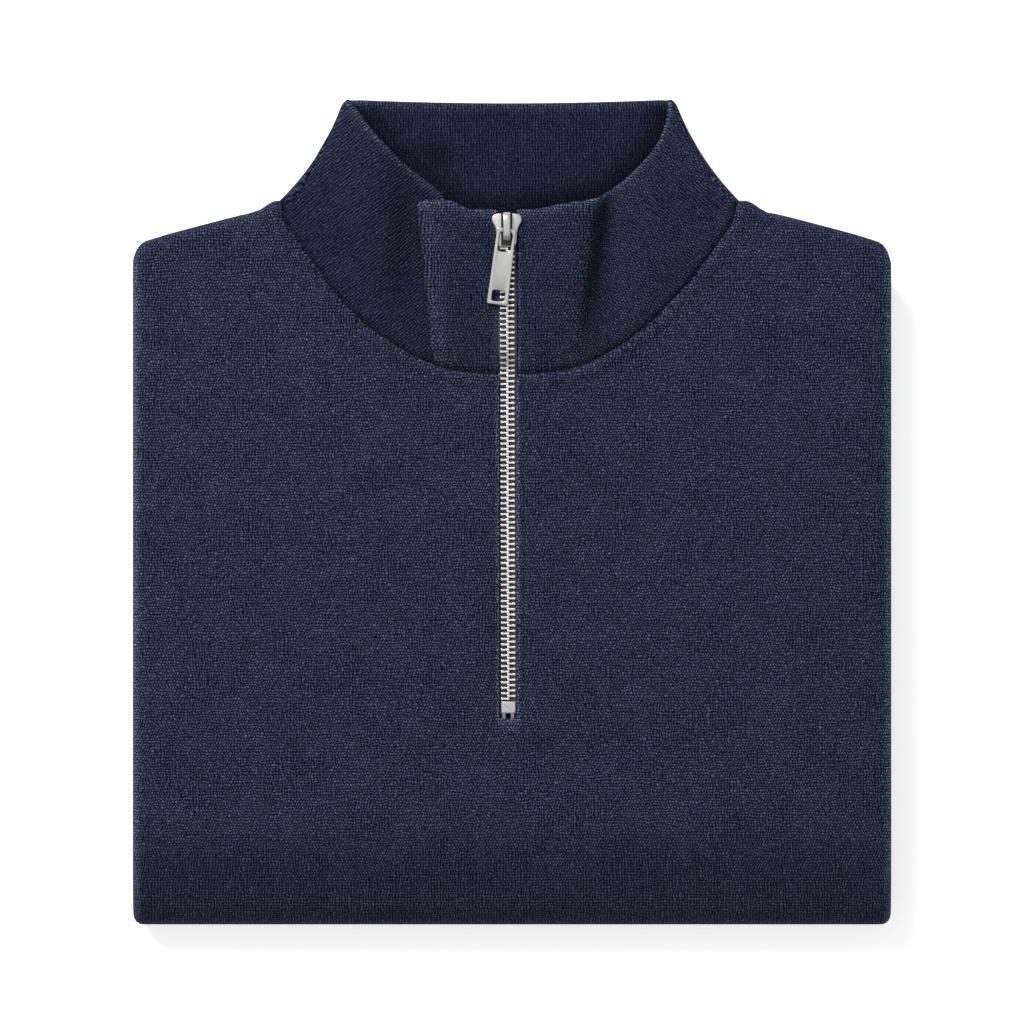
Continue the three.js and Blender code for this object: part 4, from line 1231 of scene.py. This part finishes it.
# %% Twill tapes
bench = Bench("Zip tape twill")
cloth = bench.node("ShaderNodeUVMap", {"uv_map": "Knit"})[0]
across, along, _ = bench.node("ShaderNodeSeparateXYZ", {}, {0: cloth})
twill = ((across * 900 + along * 1400) * 2 * math.pi).wave() * 0.5 + 0.5
zip_tape = bench.surface(
    Base_Color=bench.colours(twill, (0.028, 0.028, 0.036), (0.085, 0.085, 0.1)),
    Normal=bench.bump(twill, 0.15 * MM),
    Roughness=0.85,
)

# %% Lay a tape under each side of the zip
TAPE_INNER = 0.9
TAPE_ON_BODY = 12.5
TAPE_ON_COLLAR = 3.95
TAPE_THICKNESS = 0.9
TAPE_COLUMNS = 6
tape_ys = [SLIT_END_Y - 0.6, *spread(SLIT_END_Y, SEAM_Y - 1.5, 60), SEAM_Y - 1.4, SEAM_Y - 0.6]
tape_ys += [*spread(SEAM_Y + 1, CHAIN_TOP_Y - 1, 30), CHAIN_TOP_Y - 1]
for side, node in ((-1, "zip_tape_left"), (1, "zip_tape_right")):
    points = np.zeros((len(tape_ys), TAPE_COLUMNS, 3))
    for i, y in enumerate(tape_ys):
        outer = TAPE_ON_BODY if y < SEAM_Y - 1.45 else TAPE_ON_COLLAR
        for j, share in enumerate(shares(TAPE_COLUMNS)):
            points[i, j] = zip_x(y) + side * mix(TAPE_INNER, outer, share), y, zip_z(y)
    tape = sheet(node + "_weave", points, points[..., :2].copy())
    modify(tape, "SOLIDIFY", thickness=TAPE_THICKNESS * MM, offset=0)
    edit(tape, turn_out)
    finish(tape, zip_tape, [node], smooth_angle=35)


# %% Bright metal
def metal(name, colour, roughness, brush):
    """Plated metal, a little duller in patches. brush is how fine its grain is."""
    bench = Bench(name)
    spot = bench.node("ShaderNodeTexCoord")[3]
    fine = bench.noise(spot, brush, 3.0)
    wear = bench.noise(spot, 160.0, 2.0)
    dark = tuple(0.9 * c for c in colour)
    return bench.surface(
        Base_Color=bench.colours(wear.within(0.3, 0.65), dark, colour),
        Roughness=wear * 0.08 + (roughness - 0.04),
        Normal=bench.bump(fine, 0.02 * MM),
        Metallic=1.0,
    )


nickel = metal("Nickel plate", (0.62, 0.615, 0.61), 0.36, 5200.0)
bright_nickel = metal("Bright nickel teeth", (0.9, 0.89, 0.87), 0.32, 3000.0)
# Near-black metal, painted shade for the slider's recess and the sides of its bridge
recess_shade_nickel = metal("Painted recess shade", (0.06, 0.06, 0.065), 0.45, 3000.0)

# %% One tooth and its copies
TOOTH_PITCH = 2.28
TOOTH_LENGTH = 3.62
TOOTH_HEIGHT = 2.5
TOOTH_OUT = 1.28
# Along the tooth, from its outer end to its head: place, and half its width there
TOOTH_WIDTHS = [(-1.81, 0.6), (-1.2, 0.56), (-0.6, 0.43), (0.6, 0.43), (1.1, 0.6), (1.81, 0.56)]
bpy.ops.mesh.primitive_cube_add(size=1)
tooth = bpy.context.object
tooth.name = "tooth pattern"
edit(tooth, lambda: bpy.ops.transform.resize(value=(TOOTH_LENGTH * MM, MM, TOOTH_HEIGHT * MM)))
for place, _ in TOOTH_WIDTHS[1:-1]:
    cut = {"plane_co": (place * MM, 0, 0), "plane_no": (1, 0, 0)}
    edit(tooth, lambda: bpy.ops.mesh.bisect(**cut))
for vertex in tooth.data.vertices:
    vertex.co.y *= 2 * read_table(TOOTH_WIDTHS, vertex.co.x / MM)
modify(tooth, "BEVEL", width=0.18 * MM, segments=2, limit_method="ANGLE", angle_limit=math.radians(40))
print("one tooth has", len(tooth.data.polygons), "faces")


def copies_of(pattern, name, places):
    """places: a matrix for each copy, in metres."""
    shape = np.array([v.co for v in pattern.data.vertices])
    faces = [tuple(face.vertices) for face in pattern.data.polygons]
    points, all_faces = [], []
    for matrix in places:
        turned = np.array(matrix.to_3x3()) @ shape.T
        all_faces += [tuple(len(points) + n for n in face) for face in faces]
        points += (turned.T + np.array(matrix.translation)).tolist()
    return piece_from(name, points, all_faces)


for side, start, node in ((-1, 0, "zip_teeth_left"), (1, TOOTH_PITCH / 2, "zip_teeth_right")):
    places = []
    for y in np.arange(STOP_TOP_Y + 1.1 + start, CHAIN_TOP_Y - 0.7, TOOTH_PITCH):
        slope = math.atan2(zip_z(y + 1) - zip_z(y - 1), 2)
        place = Matrix.Translation(((zip_x(y) + side * TOOTH_OUT) * MM, y * MM, zip_z(y) * MM))
        turn = Matrix.Rotation(slope, 4, "X") @ Matrix.Rotation(0 if side < 0 else math.pi, 4, "Z")
        places.append(place @ turn)
    teeth = copies_of(tooth, node + "_metal", places)
    finish(teeth, bright_nickel, [node], smooth_angle=40)
    print(len(places), "teeth")
bpy.data.objects.remove(tooth)


# %% [markdown]
# ## Stop, slider and pull tab
# These are stamped and cast metal, so each starts as a flat outline that is pulled up to its thickness and
# bevelled. The stop is a clip over the last teeth, and under it show the two pale ends of the tape. The
# slider has two plates joined by a post and two side walls, a shallow recess in its top, whose floor is
# painted near-black as painted shade, and a rounded bridge, whose sides carry the same painted shade. The
# pull tab hangs on that bridge by its eye and has a slot near its end.


# %% Plates from outlines
BEVEL_ANGLE = math.radians(38)
CUTTER_TOP = 60


def cut_plate(name, outline, bottom, top):
    """A disc whose rim is moved to an outline, in millimetres, then pulled up to its thickness."""
    bpy.ops.mesh.primitive_circle_add(vertices=len(outline), fill_type="NGON")
    plate = bpy.context.object
    plate.name = name
    for vertex, (x, y) in zip(plate.data.vertices, outline):
        vertex.co = (x * MM, y * MM, bottom * MM)
    pull = {"value": (0, 0, (top - bottom) * MM)}
    edit(
        plate,
        lambda: bpy.ops.mesh.extrude_region_move(TRANSFORM_OT_translate=pull),
        lambda: bpy.ops.mesh.select_all(action="SELECT"),
        weld_and_turn_out,
    )
    return plate


def rounded_rectangle(left, bottom, right, top, radius, steps=4):
    corners = [
        (right - radius, top - radius, 0), (left + radius, top - radius, 1),
        (left + radius, bottom + radius, 2), (right - radius, bottom + radius, 3),
    ]
    return [
        (x + radius * math.cos(angle), y + radius * math.sin(angle))
        for x, y, quarter in corners
        for angle in [(quarter + n / steps) * math.pi / 2 for n in range(steps + 1)]
    ]


def bevel(piece, width, segments=2):
    width *= MM
    modify(piece, "BEVEL", width=width, segments=segments, limit_method="ANGLE", angle_limit=BEVEL_ANGLE)


def cut_hole(piece, outline, bottom=-20):
    """Cuts an outline out of a piece, right through it or down to the height given."""
    cutter = cut_plate("cutter", outline, bottom, CUTTER_TOP)
    modify(piece, "BOOLEAN", object=cutter, operation="DIFFERENCE", solver="EXACT")
    bpy.data.objects.remove(cutter)


def join(pieces):
    only(pieces[0])
    for piece in pieces[1:]:
        piece.select_set(True)
    bpy.ops.object.join()
    return bpy.context.object


# %% The stop
STOP_HALF = 3.15
stop_z = zip_z(STOP_TOP_Y)
stop_x = zip_x(STOP_TOP_Y)
stop_outline = rounded_rectangle(stop_x - STOP_HALF, STOP_BOTTOM_Y, stop_x + STOP_HALF, STOP_TOP_Y, 0.35, 2)
stop = cut_plate("bottom_stop_clip", stop_outline, stop_z - 1.7, stop_z + 1.55)


def sink_top():
    bpy.ops.mesh.select_all(action="DESELECT")
    bpy.ops.object.mode_set(mode="OBJECT")
    highest = max(face.center.z for face in stop.data.polygons)
    for face in stop.data.polygons:
        face.select = face.center.z > highest - 0.01 * MM
    bpy.ops.object.mode_set(mode="EDIT")
    bpy.ops.mesh.inset(thickness=0.5 * MM, depth=0.14 * MM)


edit(stop, sink_top)
bevel(stop, 0.16)
finish(stop, nickel, ["bottom_stop"], smooth_angle=10)

# %% The ends of the tape
TAPE_END_XS = (-3.3, 0.3)
TAPE_END_HALF = 0.75
TAPE_END_YS = (-87.1, -84.0)
TAPE_END_ZS = (25.4, 26.9)
ends = []
for x in TAPE_END_XS:
    left, right = x - TAPE_END_HALF, x + TAPE_END_HALF
    tuft_outline = rounded_rectangle(left, TAPE_END_YS[0], right, TAPE_END_YS[1], 0.5, 2)
    tuft = cut_plate("tape_end", tuft_outline, *TAPE_END_ZS)
    bevel(tuft, 0.35)
    ends.append(tuft)
tape_ends = join(ends)
tape_ends.name = "zip_tape_ends"
finish(tape_ends, pale_thread, [])

# %% Measures of the slider
SLIDER_X = -2.2
SLIDER_Y = 119.4
SLIDER_ROOM = 3.2
SLIDER_PLATE = 1.2
# How far along from the slider's middle, and half its width there
SLIDER_OUTLINE = [(6, 3.4), (5.4, 5.4), (4, 6.3), (2.4, 6.2), (0.2, 5), (-2.6, 4.4), (-6.4, 4.1), (-8.2, 3.1)]
RECESS_FLOOR = 0.35
slider_z = zip_z(SLIDER_Y)
top_z = slider_z + SLIDER_ROOM / 2
bottom_z = slider_z - SLIDER_ROOM / 2


def slider_block(left, bottom, right, top, radius, steps=4):
    """A rounded rectangle measured from the slider's middle."""
    start, end = (SLIDER_X + left, SLIDER_Y + bottom), (SLIDER_X + right, SLIDER_Y + top)
    return rounded_rectangle(*start, *end, radius, steps)


def inner_wall(name, outline):
    """A post or side wall, which reaches a little into both plates."""
    return cut_plate(name, outline, bottom_z - 0.3, top_z + 0.3)


# %% Plates, post and side walls of the slider
half = [spline([(w, y) for y, w in SLIDER_OUTLINE], s) for s in shares(22)]
ring = [(SLIDER_X - w, SLIDER_Y + y) for w, y in half]
ring += [(SLIDER_X + w, SLIDER_Y + y) for w, y in reversed(half)]
plate_top = cut_plate("slider top", ring, top_z, top_z + SLIDER_PLATE)
plate_bottom = cut_plate("slider bottom", ring, bottom_z - SLIDER_PLATE, bottom_z)
for plate in (plate_top, plate_bottom):
    bevel(plate, 0.42, 3)
cut_hole(plate_top, slider_block(-2.35, -7.7, 2.35, 8, 0.4), top_z + RECESS_FLOOR)
post = inner_wall("slider post", slider_block(-1.7, 1.5, 1.7, 5.4, 0.8))
flanges = [inner_wall("slider flange", slider_block(x - 0.4, -6, x + 0.4, -0.5, 0.3, 2)) for x in (-3.8, 3.8)]

# %% The bridge over the slider
BRIDGE_WIDTH = 3.3
# Rows turn the flat outline so that it stands along the slider: its X becomes Y, and its Y becomes Z
STAND_UP = Matrix(((0, 0, 1, 0), (1, 0, 0, 0), (0, 1, 0, 0), (0, 0, 0, 1)))


def curve_by(start, by, end, steps=6):
    """A bend from start to end that is drawn towards by."""
    spots = [n / steps for n in range(1, steps + 1)]
    return [tuple(mix(mix(a, b, t), mix(b, c, t), t) for a, b, c in zip(start, by, end)) for t in spots]


arch = [(6.6, -1), (6.6, 1.8), *curve_by((6.6, 1.8), (6, 4.2), (2.4, 4.2)), (-3, 4.2)]
arch += [*curve_by((-3, 4.2), (-5.4, 4), (-5.8, 1.6)), (-5.8, -1), (-4.1, -1), (-4.1, 1.4)]
arch += [*curve_by((-4.1, 1.4), (-3.9, 2.75), (-2.6, 2.8)), (2.2, 2.8)]
arch += [*curve_by((2.2, 2.8), (4.2, 2.8), (4.4, 1.4)), (4.4, -1)]
bridge = cut_plate("slider bridge", arch, -BRIDGE_WIDTH / 2, BRIDGE_WIDTH / 2)
bevel(bridge, 0.5, 4)
on_plate = Matrix.Translation((SLIDER_X * MM, SLIDER_Y * MM, (top_z + SLIDER_PLATE) * MM))
bridge.data.transform(on_plate @ STAND_UP)
slider = join([plate_top, plate_bottom, post, bridge, *flanges])
slider.name = "slider_metal"
finish(slider, nickel, ["slider"], smooth_angle=40)
slider.data.materials.append(recess_shade_nickel)
# The floor of the recess and the sides of the bridge get a near-black metal as painted shade
for face in slider.data.polygons:
    x, y, z = (c / MM for c in face.center)
    on_floor = abs(z - top_z - RECESS_FLOOR) < 0.05
    in_recess = on_floor and abs(x - SLIDER_X) < 2.34 and y > SLIDER_Y - 7.6
    bridge_side = abs(face.normal.x) > 0.8 and abs(x - SLIDER_X) < 1.7 and z > top_z
    face.material_index = int(in_recess or bridge_side)

# %% The pull tab
TAB_LENGTH = 31.4
TAB_WIDTH = 9
TAB_HEAD = 8
TAB_THICKNESS = 1.5
TAB_BAR = 1.7
TAB_HOLE_HALF = 2.7
EYE_LENGTH = 8.2
SLOT_YS = (1.4, 6)
HINGE = (-2.3, 118.2, slider_z + 4.25)
TAB_SWING = math.radians(-7.2)
TAB_PITCH = math.radians(3)
outline = [
    (x * mix(1, TAB_HEAD / TAB_WIDTH, smooth((y + 10) / 9)), y)
    for x, y in rounded_rectangle(-TAB_WIDTH / 2, -TAB_LENGTH, TAB_WIDTH / 2, TAB_BAR / 2, 0.7)
]
tab = cut_plate("pull_tab_metal", outline, -TAB_THICKNESS / 2, TAB_THICKNESS / 2)
eye_start, eye_end = -TAB_BAR / 2 - EYE_LENGTH, -TAB_BAR / 2
slot_start, slot_end = (-TAB_LENGTH + y for y in SLOT_YS)
cut_hole(tab, rounded_rectangle(-TAB_HOLE_HALF, eye_start, TAB_HOLE_HALF, eye_end, 1.1))
cut_hole(tab, rounded_rectangle(-TAB_HOLE_HALF, slot_start, TAB_HOLE_HALF, slot_end, 1))
bevel(tab, 0.28, 3)
at_hinge = Matrix.Translation([c * MM for c in HINGE])
tab.data.transform(at_hinge @ Matrix.Rotation(TAB_SWING, 4, "Z") @ Matrix.Rotation(TAB_PITCH, 4, "X"))
finish(tab, nickel, ["pull_tab"], body="pull_tab", smooth_angle=35)
